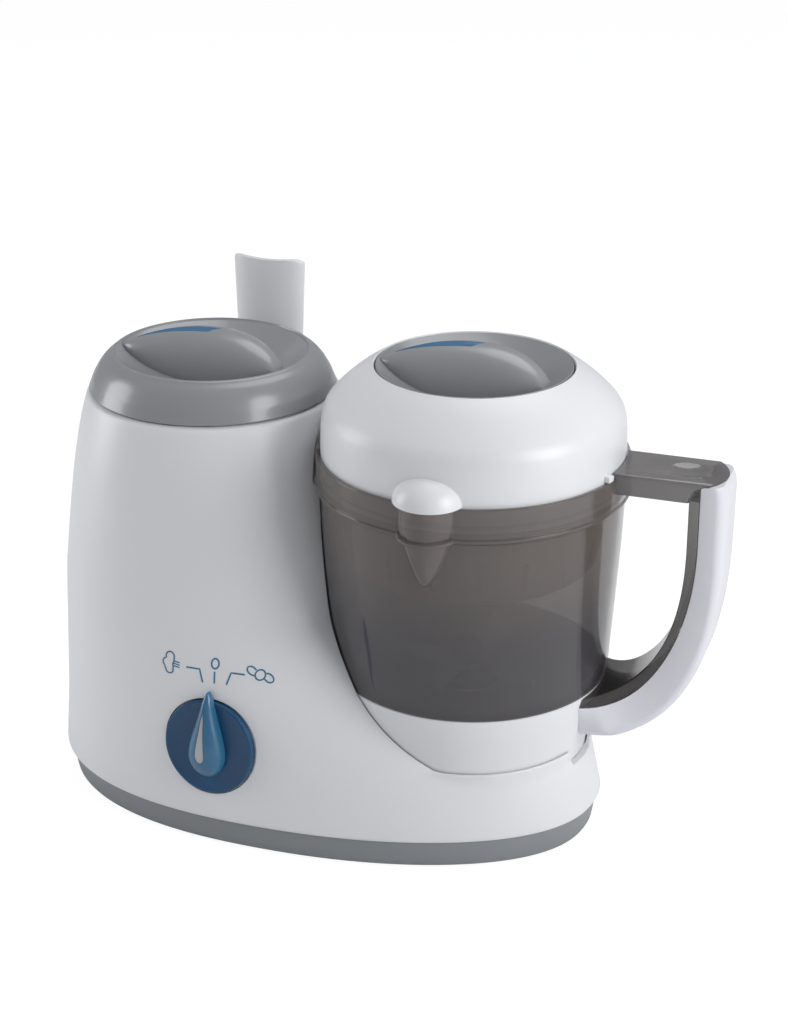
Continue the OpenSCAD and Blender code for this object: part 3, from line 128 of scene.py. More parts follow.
RING_BOTTOM = 38.0
RING_BULGE = [(0, 0), (0.16, 0.11), (0.27, 0.19), (0.43, 0.39), (0.64, 0.67), (0.83, 0.87), (1, 1)]
BOWL_BULGE = [(0, 0), (0.2, 0.24), (0.45, 0.52), (0.74, 0.83), (1, 1)]
BOWL_PROFILE = [(38 + 37.5 * a, 52.9 + 8.5 * b) for a, b in RING_BULGE]
BOWL_PROFILE += [(75.5 + 81.5 * a, 61.4 + 4.6 * b) for a, b in BOWL_BULGE[1:]]


def lookup(x, table):
    """Straight lines between the table's points."""
    if x <= table[0][0]:
        return table[0][1]
    for (xa, ya), (xb, yb) in zip(table, table[1:]):
        if x <= xb:
            return ya + (yb - ya) * (x - xa) / (xb - xa)
    return table[-1][1]


def smooth_lookup(x, table):
    """Catmull-Rom through the table's points."""
    if x <= table[0][0]:
        return table[0][1]
    if x >= table[-1][0]:
        return table[-1][1]
    i = next(k for k in range(len(table) - 1) if x <= table[k + 1][0])
    xa, ya = table[i]
    xb, yb = table[i + 1]
    xp, yp = table[i - 1] if i else (2 * xa - xb, 2 * ya - yb)
    xn, yn = table[i + 2] if i + 2 < len(table) else (2 * xb - xa, 2 * yb - ya)
    ma = (yb - yp) / (xb - xp) * (xb - xa)
    mb = (yn - ya) / (xn - xa) * (xb - xa)
    t = (x - xa) / (xb - xa)
    return (
        (2 * t**3 - 3 * t * t + 1) * ya
        + (t**3 - 2 * t * t + t) * ma
        + (3 * t * t - 2 * t**3) * yb
        + (t**3 - t * t) * mb
    )


def bowl_radius(z):
    return smooth_lookup(z, BOWL_PROFILE)


def bowl_wall(heights, grow=0.0):
    """Points of the bowl's outside at the given heights, grown by a gap."""
    return [(bowl_radius(z) + grow, z) for z in heights]


def half_length():
    return size("base_length") / 2


def body_share(z):
    """Share of the body height, 0 at the seam and 1 at the top of the tower."""
    return max(z - SEAM, 0) / (size("tower_height") - SEAM)


def left_radius(z):
    foot, s = half_length() + size("tower_x"), body_share(z)
    return foot - (foot - TOWER_TOP_RADIUS) * (0.72 * s**1.6 + 0.28 * s**8)


def half_width(z):
    foot, s = size("base_width") / 2, body_share(z)
    return foot - (foot - TOWER_TOP_RADIUS) * (0.85 * s + 0.15 * s**10)


def narrowing(x, z):
    """Share of the width that is left at a place along the egg shaped base."""
    taper = 0.19 * max(1 - z / size("tower_height"), 0)
    return 1 - taper * x / half_length()


def soft_min(a, b, rounding):
    return min(a, b) - rounding * math.log(1 + math.exp(-abs(a - b) / rounding))


def soft_max(a, b, rounding):
    return max(a, b) + rounding * math.log(1 + math.exp(-abs(a - b) / rounding))


def right_end(z):
    """The base leans in up to the rim, then the saddle falls to the tower."""
    up = (z - RIM) / (size("tower_height") - RIM)
    start = size("tower_x") + TOWER_TOP_RADIUS
    base = half_length() - 7.4 * (z - SEAM) / (RIM - SEAM)
    fall = soft_max(1 - 1.82 * up, 0.33 * (1 - max(up, 0) ** 1.6), 0.03)
    return soft_min(base, start + (SADDLE_REACH - start) * fall, 2)


def outline_power(z):
    return 2 + 0.22 * (1 - body_share(z))


def body_outline(turn, z, inset=0.0, lip=None):
    """Point of the body's outline at a turn round it and a height.

    Near the bowl the outline keeps outside lip, the radius of the cradle's wall; a lip of 0
    leaves the outline as it is.
    """
    p = 2 / outline_power(z)
    c, s = math.cos(turn), math.sin(turn)
    sx = math.copysign(abs(c) ** p, c)
    sy = math.copysign(abs(s) ** p, s)
    low = size("tower_x") - left_radius(z) + inset
    high = right_end(z) - inset
    x = (low + high) / 2 + (high - low) / 2 * sx
    y = (half_width(z) - inset) * sy * narrowing(x, z)
    if lip is None and z <= RIM + 0.1:
        lip = bowl_radius(max(z, RING_BOTTOM)) + CRADLE_GAP + LIP_WALL - inset
    if lip:
        middle = size("bowl_x")
        far = math.hypot(x - middle, y)
        grown = soft_max(far, lip, 1) / far
        x, y = middle + (x - middle) * grown, y * grown
    return x, y


def front_face(x, z, lift=0.0):
    """Point of the body's front at a place along it and a height, lifted off the surface."""
    low = size("tower_x") - left_radius(z)
    high = right_end(z)
    sx = max(min((x - (low + high) / 2) / ((high - low) / 2), 1), -1)
    n = outline_power(z)
    y = half_width(z) * (1 - abs(sx) ** n) ** (1 / n) * narrowing(x, z)
    return Vector((x, -y - lift, z))


# ---------------------------------------------------------------- modelling helpers

CREASE = 34


def start_clean():
    if bpy.context.object and bpy.context.object.mode != "OBJECT":
        bpy.ops.object.mode_set(mode="OBJECT")
    bpy.ops.object.select_all(action="DESELECT")


def only(obj):
    start_clean()
    obj.hide_set(False)
    obj.select_set(True)
    bpy.context.view_layer.objects.active = obj


def named(obj, name):
    obj.name = name
    obj.data.name = name
    return obj


def apply_place(obj):
    only(obj)
    bpy.ops.object.transform_apply(location=True, rotation=True, scale=True)
    return obj


def edit_all(obj):
    only(obj)
    bpy.ops.object.mode_set(mode="EDIT")
    bpy.ops.mesh.select_all(action="SELECT")


def faces_out(obj, merge=0.00002):
    edit_all(obj)
    bpy.ops.mesh.remove_doubles(threshold=merge)
    bpy.ops.mesh.normals_make_consistent(inside=False)
    bpy.ops.object.mode_set(mode="OBJECT")
    return obj


def bridge_open_ends(obj):
    """Closes a sleeve by joining its two open rings."""
    only(obj)
    bpy.ops.object.mode_set(mode="EDIT")
    bpy.ops.mesh.select_mode(type="EDGE")
    bpy.ops.mesh.select_all(action="DESELECT")
    bpy.ops.mesh.select_non_manifold(extend=False)
    bpy.ops.mesh.bridge_edge_loops()
    bpy.ops.object.mode_set(mode="OBJECT")


def smooth(obj, angle=CREASE):
    only(obj)
    bpy.ops.object.shade_smooth_by_angle(angle=math.radians(angle))
    return obj


def joined(target, tool, operation):
    """Boolean of target with tool, which is used up."""
    only(target)
    m = target.modifiers.new("Boolean", "BOOLEAN")
    m.operation = operation
    m.object = tool
    m.solver = "EXACT"
    bpy.ops.object.modifier_apply(modifier=m.name)
    bpy.data.objects.remove(tool, do_unlink=True)
    return target


def cut(target, tool):
    return joined(target, tool, "DIFFERENCE")


def fused(target, tool):
    return joined(target, tool, "UNION")


def fillet(points, radii, steps):
    """Polyline with an arc of its own radius at each inner corner."""
    out = [Vector(points[0])]
    for i in range(1, len(points) - 1):
        p, a, b = Vector(points[i]), Vector(points[i - 1]), Vector(points[i + 1])
        u, v = (a - p), (b - p)
        if radii[i] <= 0:
            out.append(p)
            continue
        half = u.angle(v) / 2
        reach = min(radii[i] / math.tan(half), u.length * 0.49, v.length * 0.49)
        r = reach * math.tan(half)
        s, e = p + u.normalized() * reach, p + v.normalized() * reach
        c = p + (u.normalized() + v.normalized()).normalized() * (r / math.sin(half))
        sa, ea = s - c, e - c
        total = sa.angle(ea)
        side = 1 if sa.x * ea.y - sa.y * ea.x > 0 else -1
        for k in range(steps + 1):
            t = side * total * k / steps
            cos, sin = math.cos(t), math.sin(t)
            out.append(c + Vector((sa.x * cos - sa.y * sin, sa.x * sin + sa.y * cos)))
    out.append(Vector(points[-1]))
    return [(p.x, p.y) for p in out]


def spline(points, steps):
    """Smooth curve through points."""
    out = []
    pts = [Vector(p) for p in points]
    for i in range(len(pts) - 1):
        a, b = pts[i], pts[i + 1]
        p = pts[i - 1] if i else a * 2 - b
        n = pts[i + 2] if i + 2 < len(pts) else b * 2 - a
        for k in range(steps):
            t = k / steps
            linear, square = (b - p) * t, (2 * p - 5 * a + 4 * b - n) * t * t
            out.append(0.5 * (2 * a + linear + square + (3 * a - p - 3 * b + n) * t**3))
    out.append(pts[-1])
    return [tuple(v) for v in out]


def slow_ends(start, span, count):
    """Stations along a span that lie closer together towards its ends."""
    return [start + span * (0.5 - 0.5 * math.cos(math.pi * k / count)) for k in range(count + 1)]


def turned(name, profile, x=0.0, segments=160, loop=True):
    """Turned piece: one ring is extruded from profile point to profile point."""
    start_clean()
    tiny = 0.004
    pts = [(max(r, tiny), z) for r, z in profile]
    bpy.ops.mesh.primitive_circle_add(
        vertices=segments, radius=pts[0][0] * MM, location=(x * MM, 0, pts[0][1] * MM)
    )
    obj = apply_place(named(bpy.context.object, name))
    edit_all(obj)
    for (ra, za), (rb, zb) in zip(pts, pts[1:]):
        bpy.ops.mesh.extrude_region_move(
            TRANSFORM_OT_translate={"value": (0, 0, (zb - za) * MM)}
        )
        if abs(rb - ra) > 1e-9:
            bpy.ops.transform.resize(
                value=(rb / ra, rb / ra, 1), center_override=(x * MM, 0, zb * MM)
            )
    bpy.ops.object.mode_set(mode="OBJECT")
    ends_apart = (Vector(profile[0]) - Vector(profile[-1])).length > 1e-6
    if loop and ends_apart and profile[0][0] > tiny and profile[-1][0] > tiny:
        bridge_open_ends(obj)
    return faces_out(obj, 0.00001)


def ringed(name, count, rings, place, caps=True):
    """Lofted piece: a ring is extruded ring by ring, then moved to place(turn, ring)."""
    start_clean()
    bpy.ops.mesh.primitive_circle_add(vertices=count, radius=1, location=(0, 0, 0))
    obj = named(bpy.context.object, name)
    edit_all(obj)
    if caps:
        bpy.ops.mesh.edge_face_add()
        bpy.ops.mesh.select_all(action="SELECT")
    for _ in range(rings - 1):
        bpy.ops.mesh.extrude_region_move(TRANSFORM_OT_translate={"value": (0, 0, 1)})
    bpy.ops.object.mode_set(mode="OBJECT")
    for v in obj.data.vertices:
        turn = math.atan2(v.co.y, v.co.x) % TAU
        v.co = Vector(place(turn, int(round(v.co.z)))) * MM
    obj.data.update()
    return faces_out(obj, 0.000005)


def step_of(turn, count):
    """Number of the point of a ring that lies at a turn."""
    return int(round(turn / TAU * count)) % count


def ball(centre, radii, segments, rings):
    """Egg shaped ball."""
    start_clean()
    bpy.ops.mesh.primitive_uv_sphere_add(segments=segments, ring_count=rings, radius=1)
    obj = bpy.context.object
    for v in obj.data.vertices:
        v.co = Vector([c + u * r for c, u, r in zip(centre, v.co, radii)]) * MM
    obj.data.update()
    return obj


def box_tool(low, high):
    start_clean()
    centre = [(a + b) / 2 * MM for a, b in zip(low, high)]
    bpy.ops.mesh.primitive_cube_add(size=1, location=centre)
    obj = bpy.context.object
    obj.scale = [(b - a) * MM for a, b in zip(low, high)]
    return apply_place(obj)


def rod_tool(start, end, radius, segments):
    start_clean()
    a, b = Vector(start) * MM, Vector(end) * MM
    bpy.ops.mesh.primitive_cylinder_add(
        vertices=segments, radius=radius * MM, depth=(b - a).length
    )
    obj = bpy.context.object
    turn = (b - a).to_track_quat("Z", "Y").to_matrix().to_4x4()
    obj.data.transform(Matrix.Translation((a + b) / 2) @ turn)
    obj.data.update()
    return obj


def soften(obj, width, angle, segments):
    """Rounds the edges that are sharper than the angle."""
    only(obj)
    bpy.ops.object.mode_set(mode="EDIT")
    bpy.ops.mesh.select_mode(type="EDGE")
    bpy.ops.mesh.select_all(action="DESELECT")
    bm = bmesh.from_edit_mesh(obj.data)
    for e in bm.edges:
        if len(e.link_faces) == 2 and e.calc_face_angle(0) > math.radians(angle):
            e.select = True
    bmesh.update_edit_mesh(obj.data)
    bpy.ops.mesh.bevel(
        offset=width * MM,
        offset_type="OFFSET",
        segments=segments,
        affect="EDGES",
        clamp_overlap=True,
    )
    bpy.ops.object.mode_set(mode="OBJECT")
    return obj


def turn_to_bowl(obj):
    """Carries a piece from the bowl's own frame to its place."""
    place = Matrix.Translation((size("bowl_x") * MM, 0, 0))
    obj.data.transform(place @ Matrix.Rotation(handle_turn(), 4, "Z"))
    obj.data.update()
    return obj


def dressed(obj, body, node, finish):
    """Gives a finished piece its name, body and material, and hides its CAD node."""
    if node:
        named(obj, node + "_smooth")
    obj.data.materials.clear()
    obj.data.materials.append(material(finish))
    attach(obj, body)
    if node:
        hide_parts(node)
    return obj


# ---------------------------------------------------------------- materials

SHADER_SOCKETS = {
    "metallic": "Metallic",
    "coat": "Coat Weight",
    "coat_roughness": "Coat Roughness",
    "transmission": "Transmission Weight",
    "subsurface": "Subsurface Weight",
    "alpha": "Alpha",
}
SMOKED = {"variation": 0.01, "grain": 250, "strength": 0.01}

# material name, colour or its key in the settings, surface
PLASTICS = {
    "white": ("White plastic", "body", dict(
        roughness=0.36, variation=0.03, coat=0.15, coat_roughness=0.32)),
    "grey": ("Grey plastic", "cap", dict(
        roughness=0.34, variation=0.03, coat=0.6, coat_roughness=0.17)),
    "skirt": ("Skirt plastic", "skirt", dict(roughness=0.42, strength=0.08)),
    "smoke": ("Smoked plastic", "smoke", dict(
        SMOKED, roughness=0.12, coat=0.8, coat_roughness=0.04, alpha=0.6)),
    "frame": ("Thick smoked plastic", "frame", dict(
        SMOKED, roughness=0.14, coat=0.6, coat_roughness=0.06, alpha=0.8)),
    "basket": ("Basket plastic", "basket", dict(roughness=0.35)),
    "handle": ("Handle plastic", "handle", dict(
        roughness=0.3, variation=0.03, coat=0.25, coat_roughness=0.2)),
    "inlay": ("Inlay plastic", "inlay", dict(roughness=0.25, coat=0.3)),
    "disc": ("Knob blue", "disc", dict(roughness=0.3, coat=0.1)),
    "pointer": ("Pointer blue", "pointer", dict(roughness=0.28, coat=0.4)),
    "ink": ("Blue ink", "marks", dict(roughness=0.45)),
    "lens": ("Clear lens", (0.62, 0.63, 0.66), dict(
        roughness=0.15, transmission=0.25, coat=0.5)),
    "dark": ("Dark plastic", (0.02, 0.02, 0.022), dict(roughness=0.4)),
    "natural": ("Natural plastic", (0.70, 0.70, 0.68), dict(roughness=0.4, subsurface=0.1)),
    "silicone": ("Seal silicone", (0.62, 0.63, 0.63), dict(roughness=0.5, subsurface=0.3)),
    "underside": ("Underside plastic", (0.15, 0.155, 0.16), dict(
        roughness=0.5, strength=0.3, grain=1400)),
    "foot": ("Foot rubber", (0.02, 0.02, 0.021), dict(
        roughness=0.75, strength=0.3, grain=1600)),
    "belt": ("Belt rubber", (0.012, 0.012, 0.012), dict(
        roughness=0.7, strength=0.4, grain=700)),
    "lamp": ("Amber lamp", (0.75, 0.3, 0.1), dict(roughness=0.2, transmission=0.6)),
    "board": ("Board green", (0.02, 0.11, 0.05), dict(roughness=0.35, coat=0.5)),
}
# low and high colour, and the heights between which one turns into the other; the change paints
# shade and light by height: the bowl painted darker below the basket, the frame painted lighter
# towards its thumb plate
PAINTED_LIGHT_BY_HEIGHT = {
    "smoke": ("smoke_painted_shade", "smoke", 100, 150),
    "frame": ("frame", "frame_top_painted_light", 120, 168),
}
# material name, colour, roughness, stretch of its fine lines
METALS = {
    "zinc": ("Zinc screws", (0.6, 0.6, 0.6), 0.28, (1, 1, 40)),
    "motor": ("Motor steel", (0.45, 0.45, 0.46), 0.28, (1, 1, 20)),
    "tank": ("Tank aluminium", (0.72, 0.73, 0.74), 0.35, (1, 1, 30)),
    "heater": ("Cast heater", (0.5, 0.48, 0.45), 0.5, (8, 8, 8)),
    "bronze": ("Sintered bronze", (0.45, 0.3, 0.14), 0.45, (6, 6, 6)),
    "shaft": ("Shaft steel", (0.6, 0.6, 0.61), 0.2, (1, 1, 30)),
    "blade": ("Blade steel", (0.68, 0.69, 0.70), 0.22, (30, 2, 2)),
}
FINISHED_NODES = {
    "white": "body_shell bowl_ring lid_dome spatula spatula_clip safety_plunger",
    "grey": "tank_cap lid_insert tank_neck",
    "skirt": "base_skirt",
    "smoke": "bowl",
    "frame": "handle_frame",
    "basket": "steam_basket",
    "handle": "handle_shell",
    "inlay": "tank_cap_inlay lid_inlay",
    "disc": "knob_disc",
    "pointer": "knob_pointer",
    "lens": "knob_lens",
    "dark": "steam_nozzle selector_switch cord_gland safety_switch motor_pulley"
    " driven_pulley drive_dog knob_shaft blade_hub",
    "natural": "motor_bracket bearing_block lid_liner",
    "silicone": "steam_pipe tank_cap_seal lid_seal",
    "underside": "base_plate",
    "foot": "foot_ring",
    "belt": "drive_belt",
    "lamp": "indicator_lamp",
    "board": "control_board",
    "zinc": "base_screws thermostat motor_shaft",
    "motor": "motor_can",
    "tank": "water_tank",
    "heater": "heating_plate",
    "bronze": "spindle_bush blade_bush",
    "shaft": "spindle_shaft blade_shaft",
    "blade": "blades",
}
NODE_FINISH = {node: key for key, nodes in FINISHED_NODES.items() for node in nodes.split()}


def new_node(tree, kind, inputs=None, **settings):
    """Adds a node, with its own settings first and then the values of its inputs."""
    node = tree.nodes.new("ShaderNode" + kind)
    for key, value in settings.items():
        setattr(node, key, value)
    for key, value in (inputs or {}).items():
        node.inputs[key].default_value = value
    return node


def link(tree, *pairs):
    for output, target in pairs:
        tree.links.new(output, target)


def moulding_group():
    """Fine unevenness of moulded plastic: a roughness and a normal."""
    name = "Moulded surface"
    if name in bpy.data.node_groups:
        return bpy.data.node_groups[name]
    g = bpy.data.node_groups.new(name, "ShaderNodeTree")
    number = "NodeSocketFloat"
    defaults = {"Roughness": 0.3, "Variation": 0.04, "Grain": 900.0, "Strength": 0.05}
    for label, value in defaults.items():
        s = g.interface.new_socket(name=label, in_out="INPUT", socket_type=number)
        s.default_value = value
    for label, kind in (("Roughness", number), ("Normal", "NodeSocketVector")):
        g.interface.new_socket(name=label, in_out="OUTPUT", socket_type=kind)
    i, o = g.nodes.new("NodeGroupInput"), g.nodes.new("NodeGroupOutput")
    place = new_node(g, "TexCoord").outputs["Object"]
    broad = new_node(g, "TexNoise", {"Scale": 16, "Detail": 3})
    fine = new_node(g, "TexNoise", {"Detail": 2})
    spread = new_node(g, "Math", {1: 0.5}, operation="SUBTRACT")
    scaled = new_node(g, "Math", operation="MULTIPLY")
    total = new_node(g, "Math", operation="ADD")
    bump = new_node(g, "Bump", {"Distance": 0.00005})
    link(
        g,
        (place, broad.inputs["Vector"]),
        (place, fine.inputs["Vector"]),
        (i.outputs["Grain"], fine.inputs["Scale"]),
        (broad.outputs["Fac"], spread.inputs[0]),
        (spread.outputs[0], scaled.inputs[0]),
        (i.outputs["Variation"], scaled.inputs[1]),
        (scaled.outputs[0], total.inputs[0]),
        (i.outputs["Roughness"], total.inputs[1]),
        (fine.outputs["Fac"], bump.inputs["Height"]),
        (i.outputs["Strength"], bump.inputs["Strength"]),
        (total.outputs[0], o.inputs["Roughness"]),
        (bump.outputs["Normal"], o.inputs["Normal"]),
    )
    return g


def plastic(name, colour, roughness, variation=0.04, grain=900, strength=0.04, **shader):
    """Moulded material; what else is given goes to the shader's own sockets."""
    m = bpy.data.materials.new(name)
    m.use_nodes = True
    tree = m.node_tree
    p = tree.nodes["Principled BSDF"]
    p.inputs["Base Color"].default_value = (*colour, 1)
    p.inputs["IOR"].default_value = 1.5
    p.inputs["Coat Roughness"].default_value = 0.1
    for key, value in shader.items():
        p.inputs[SHADER_SOCKETS[key]].default_value = value
    if shader.get("subsurface"):
        p.inputs["Subsurface Radius"].default_value = (1.0, 0.9, 0.8)
        p.inputs["Subsurface Scale"].default_value = 0.002
    g = new_node(tree, "Group", node_tree=moulding_group())
    surface = {
        "Roughness": roughness,
        "Variation": variation,
        "Grain": grain,
        "Strength": strength,
    }
    for label, value in surface.items():
        g.inputs[label].default_value = value
    for label in ("Roughness", "Normal"):
        link(tree, (g.outputs[label], p.inputs[label]))
    return m


def brushed(name, colour, roughness, along):
    """Brushed or spun metal with fine lines."""
    m = plastic(name, colour, roughness, 0.1, 1500, 0.1, metallic=1.0)
    tree = m.node_tree
    place = new_node(tree, "TexCoord").outputs["Object"]
    stretch = new_node(tree, "Mapping", {"Scale": along})
    lines = new_node(tree, "TexNoise", {"Scale": 60, "Detail": 4})
    spread = {"To Min": roughness - 0.08, "To Max": roughness + 0.12}
    ramp = new_node(tree, "MapRange", spread)
    link(
        tree,
        (place, stretch.inputs["Vector"]),
        (stretch.outputs["Vector"], lines.inputs["Vector"]),
        (lines.outputs["Fac"], ramp.inputs["Value"]),
        (ramp.outputs["Result"], tree.nodes["Principled BSDF"].inputs["Roughness"]),
    )
    return m


def paint_shade_by_height(m, low, high, start, end):
    """Tint that changes with height on the piece: painted shade low down and painted light higher
    up.
    """
    tree = m.node_tree
    place = new_node(tree, "TexCoord").outputs["Object"]
    parts = new_node(tree, "SeparateXYZ")
    ends = {"From Min": start * MM, "From Max": end * MM}
    share = new_node(tree, "MapRange", ends, interpolation_type="SMOOTHSTEP")
    mixed = new_node(tree, "Mix", {"A": (*low, 1), "B": (*high, 1)}, data_type="RGBA")
    link(
        tree,
        (place, parts.inputs[0]),
        (parts.outputs["Z"], share.inputs["Value"]),
        (share.outputs["Result"], mixed.inputs["Factor"]),
        (mixed.outputs["Result"], tree.nodes["Principled BSDF"].inputs["Base Color"]),
    )
    return m


def material(finish):
    """The material of a finish, made when it is first asked for."""
    name = (METALS.get(finish) or PLASTICS[finish])[0]
    if name in bpy.data.materials:
        return bpy.data.materials[name]
    if finish in METALS:
        return brushed(*METALS[finish])
    colours = bpy.context.scene.cooker_colours
    name, colour, surface = PLASTICS[finish]
    if isinstance(colour, str):
        colour = tuple(getattr(colours, colour))
    m = plastic(name, colour, **surface)
    # painted shade and painted light by height on the bowl and the frame
    if finish in PAINTED_LIGHT_BY_HEIGHT:
        low, high, start, end = PAINTED_LIGHT_BY_HEIGHT[finish]
        paint_shade_by_height(m, getattr(colours, low), getattr(colours, high), start, end)
    return m


class COOKER_OT_finishes(bpy.types.Operator):
    """Gives every solid its material"""

    bl_idname = "cooker.finishes"
    bl_label = "Finishes"

    def execute(self, context):
        for name, obj in frame["nodes"].items():
            obj.data.materials.clear()
            obj.data.materials.append(material(NODE_FINISH[name]))
        return {"FINISHED"}


# ---------------------------------------------------------------- body shell and skirt

KNOB = Vector((-21.6, 0, 48.5))
KNOB_TILT = math.radians(6.5)
WALL = 2.5
CRADLE_HEIGHTS = (39, 41, 44, 48, 52, 57, 62, 69, 75.5, 92, 112, 136, 154)
SPATULA_HALF = 17.8
CHANNEL_HALF = SPATULA_HALF + 1.5
CHANNEL_FLOOR = 73
CLIP_MARGIN = 3.1


def knob_matrix():
    """Frame of the knob: +Z out of the front, +Y up the panel."""
    place = Matrix.Translation(Vector((KNOB.x, -half_width(KNOB.z) - 1.6, KNOB.z)) * MM)
    return place @ Matrix.Rotation(math.radians(90) - KNOB_TILT, 4, "X")


def cradle_profile(margin=0.0):
    """Inside of the cradle round the bowl, grown by a margin."""
    out = CRADLE_GAP + margin
    pts = [(0, 37.7 - margin), (bowl_radius(RING_BOTTOM) + out, 37.7 - margin)]
    pts += bowl_wall(CRADLE_HEIGHTS, out)
    return pts + [(68.9 + out, 158), (68.9 + out, 210), (0, 210)]


def body_solid():
    """Outside of the body: rows of height, inset and lip from the seam to the tower's top."""
    edge, rim_foot, rim_round, lip_lean = 2.4, 45.2, 0.8, 0.6
    rows = [(14.5, 0.5, None), (14.9, 0.15, None)]
    lower = (15.6, 17, 20, 24, 28, 32, 35, 38, 40, 42, 43.5, 44.6, rim_foot)
    rows += [(z, 0.0, None) for z in lower]
    for k in range(1, 6):
        a = math.radians(90 * k / 5)
        z = rim_foot + rim_round * math.sin(a)
        lip = bowl_radius(z) + CRADLE_GAP + LIP_WALL - lip_lean * (1 - math.cos(a))
        rows.append((z, 0.0, lip))
    upper = [46.7, 47.2, 48.2, 49.5, 51, 53, 55.5, 58.5, 62, 66]
    z = 70.0
    while z < 180:
        upper.append(z)
        z += 3.6
    rows += [(z, 0.0, 0) for z in upper + [181.5, 183.0]]
    for k in range(1, 9):
        a = math.radians(90 * k / 8)
        top = size("tower_height") - edge + edge * math.sin(a)
        rows.append((top, edge * (1 - math.cos(a)), 0))

    def place(turn, ring):
        z, inset, lip = rows[ring]
        return *body_outline(turn, z, inset, lip), z

    return ringed("body_shell_smooth", 288, len(rows), place)


def body_core():
    """Hollow of the body, with walls left round the cradle, the channel and the knob."""
    levels = [13.0, 30, 38, 46, 56, 70, 88, 104, 120, 142, 165, size("tower_height") - 2.6]

    def place(turn, ring):
        return *body_outline(turn, levels[ring], WALL), levels[ring]

    core = ringed("core", 96, len(levels), place)
    cut(core, turned("cradle_inner", cradle_profile(WALL), x=size("bowl_x"), segments=96))
    cut(core, channel_tool(WALL))
    boss = rod_tool((0, 0, -7.9), (0, 0, 12), 25, 64)
    boss.data.transform(knob_matrix())
    cut(core, boss)
    return core


def channel_depth():
    """Distance of the spatula's channel from the tower axis."""
    return half_width(120) - 9


def turn_to_spatula(obj):
    """Moves a piece made about the tower axis, facing +Y, to the spatula's place."""
    place = Matrix.Translation((size("tower_x") * MM, 0, 0))
    obj.data.transform(place @ Matrix.Rotation(math.radians(4.5), 4, "Z"))
    return obj


def channel_tool(margin=0.0):
    half = CHANNEL_HALF + margin
    low = (-half, channel_depth() - margin, CHANNEL_FLOOR - margin)
    return turn_to_spatula(box_tool(low, (half, 120, 260)))


def clip_tool():
    """Seat of the clip that holds the spatula."""
    half = CHANNEL_HALF + CLIP_MARGIN
    low = (-half, half_width(120) - CLIP_MARGIN, 103.9)
    return turn_to_spatula(box_tool(low, (half, 120, 120.1)))


def notch_tool():
    """Cutter for the notch in the cradle rim under the handle."""
    side = [(-30, 60), (-15.2, 51), (-11, 37.7), (11, 37.7), (15.2, 51), (30, 60)]
    profile = fillet(side, [0, 0, 2.5, 2.5, 0, 0], 6)

    def place(turn, ring):
        y, z = profile[step_of(turn, len(profile))]
        return size("bowl_x") + (30 if ring == 0 else 90), y, z

    return ringed("notch", len(profile), 2, place)


def round_holes():
    """Start, end, radius and sides of each round opening of the body."""
    tower, bowl = size("tower_x"), size("bowl_x")
    gland, y = tower + 38, half_width(27) * 1.017
    return (
        ((tower, 0, 176), (tower, 0, 190), 34.7, 128),  # neck of the tank
        ((bowl - 90, 0, 153), (bowl - 50, 0, 153), 6.1, 48),  # steam nozzle
        ((bowl, 0, 27), (bowl, 0, 47), 10.1, 64),  # spindle
        ((bowl - 34, 0, 27), (bowl - 34, 0, 47), 2.25, 32),  # safety plunger
        ((gland, y - 20, 27), (gland, y + 20, 27), 6, 48),  # cord gland
    )


class COOKER_OT_body(bpy.types.Operator):
    """Body shell with the cradle of the bowl"""

    bl_idname = "cooker.body"
    bl_label = "Body shell"

    def execute(self, context):
        body = body_solid()
        cut(body, turned("cradle", cradle_profile(), x=size("bowl_x"), segments=256))
        cut(body, channel_tool())
        cut(body, notch_tool())
        cut(body, body_core())
        well = (-2.5, 20, size("knob_radius") + 0.8, 128)
        shaft_hole = (-30, 5, 7, 48)
        for low, high, radius, sides in (well, shaft_hole):
            hole = rod_tool((0, 0, low), (0, 0, high), radius, sides)
            hole.data.transform(knob_matrix())
            cut(body, hole)
        for hole in round_holes():
            cut(body, rod_tool(*hole))
        cut(body, clip_tool())
        faces_out(body, 0.00012)
        smooth(body, 32)
        dressed(body, "base_unit", "body_shell", "white")
        return {"FINISHED"}


class COOKER_OT_skirt(bpy.types.Operator):
    """Grey skirt between body and table"""

    bl_idname = "cooker.skirt"
    bl_label = "Skirt"

    def execute(self, context):
        # height, inset from the body's outline at the seam
        rows = [(1.0, 4.7), (1.25, 4.1), (1.8, 3.75), (4, 3.35), (8, 2.7), (12, 2.1)]
        rows += [(13.2, 1.9), (13.8, 2.0), (14.0, 2.4), (14.0, 3.8), (13, 4.4), (1.0, 6.7)]

        def place(turn, ring):
            z, inset = rows[ring]
            return *body_outline(turn, SEAM, inset), z

        skirt = ringed("base_skirt_smooth", 288, len(rows), place, caps=False)
        bridge_open_ends(skirt)
        faces_out(skirt)
        smooth(skirt, 40)
        dressed(skirt, "base_unit", "base_skirt", "skirt")
        return {"FINISHED"}


# ---------------------------------------------------------------- grips

GRIP_RADIUS = 42.5
RIDGE_START, RIDGE_LENGTH = -40.5, 77
CRESCENT_START, CRESCENT_LENGTH = -33.5, 35

# place along the ridge, near foot, far foot, top over the rim
RIDGE_LINES = [
    (-40.5, -9.4, -7.4, -0.6), (-38, -11, -4.6, 0.7), (-35, -12.4, -1.2, 2.1),
    (-32, -13.3, 2, 3.3), (-28, -14.2, 5.8, 4.7), (-23, -14.8, 9.8, 6.1),
    (-18, -15, 12.8, 7.2), (-13, -15, 15.2, 8), (-8, -14.9, 16.8, 8.6),
    (-3, -14.7, 17.6, 8.9), (2, -14.5, 17.8, 9), (7, -14.2, 17.5, 8.9),
    (12, -13.8, 16.6, 8.3), (17, -13.2, 15, 7.4), (21, -12.6, 13, 6.2),
    (25, -11.7, 10.4, 4.6), (29, -10.4, 7, 2.4), (32, -9.2, 4, 0.1),
    (34.5, -8, 1, -2.8), (36.5, -6.6, -2, -6.4),
]
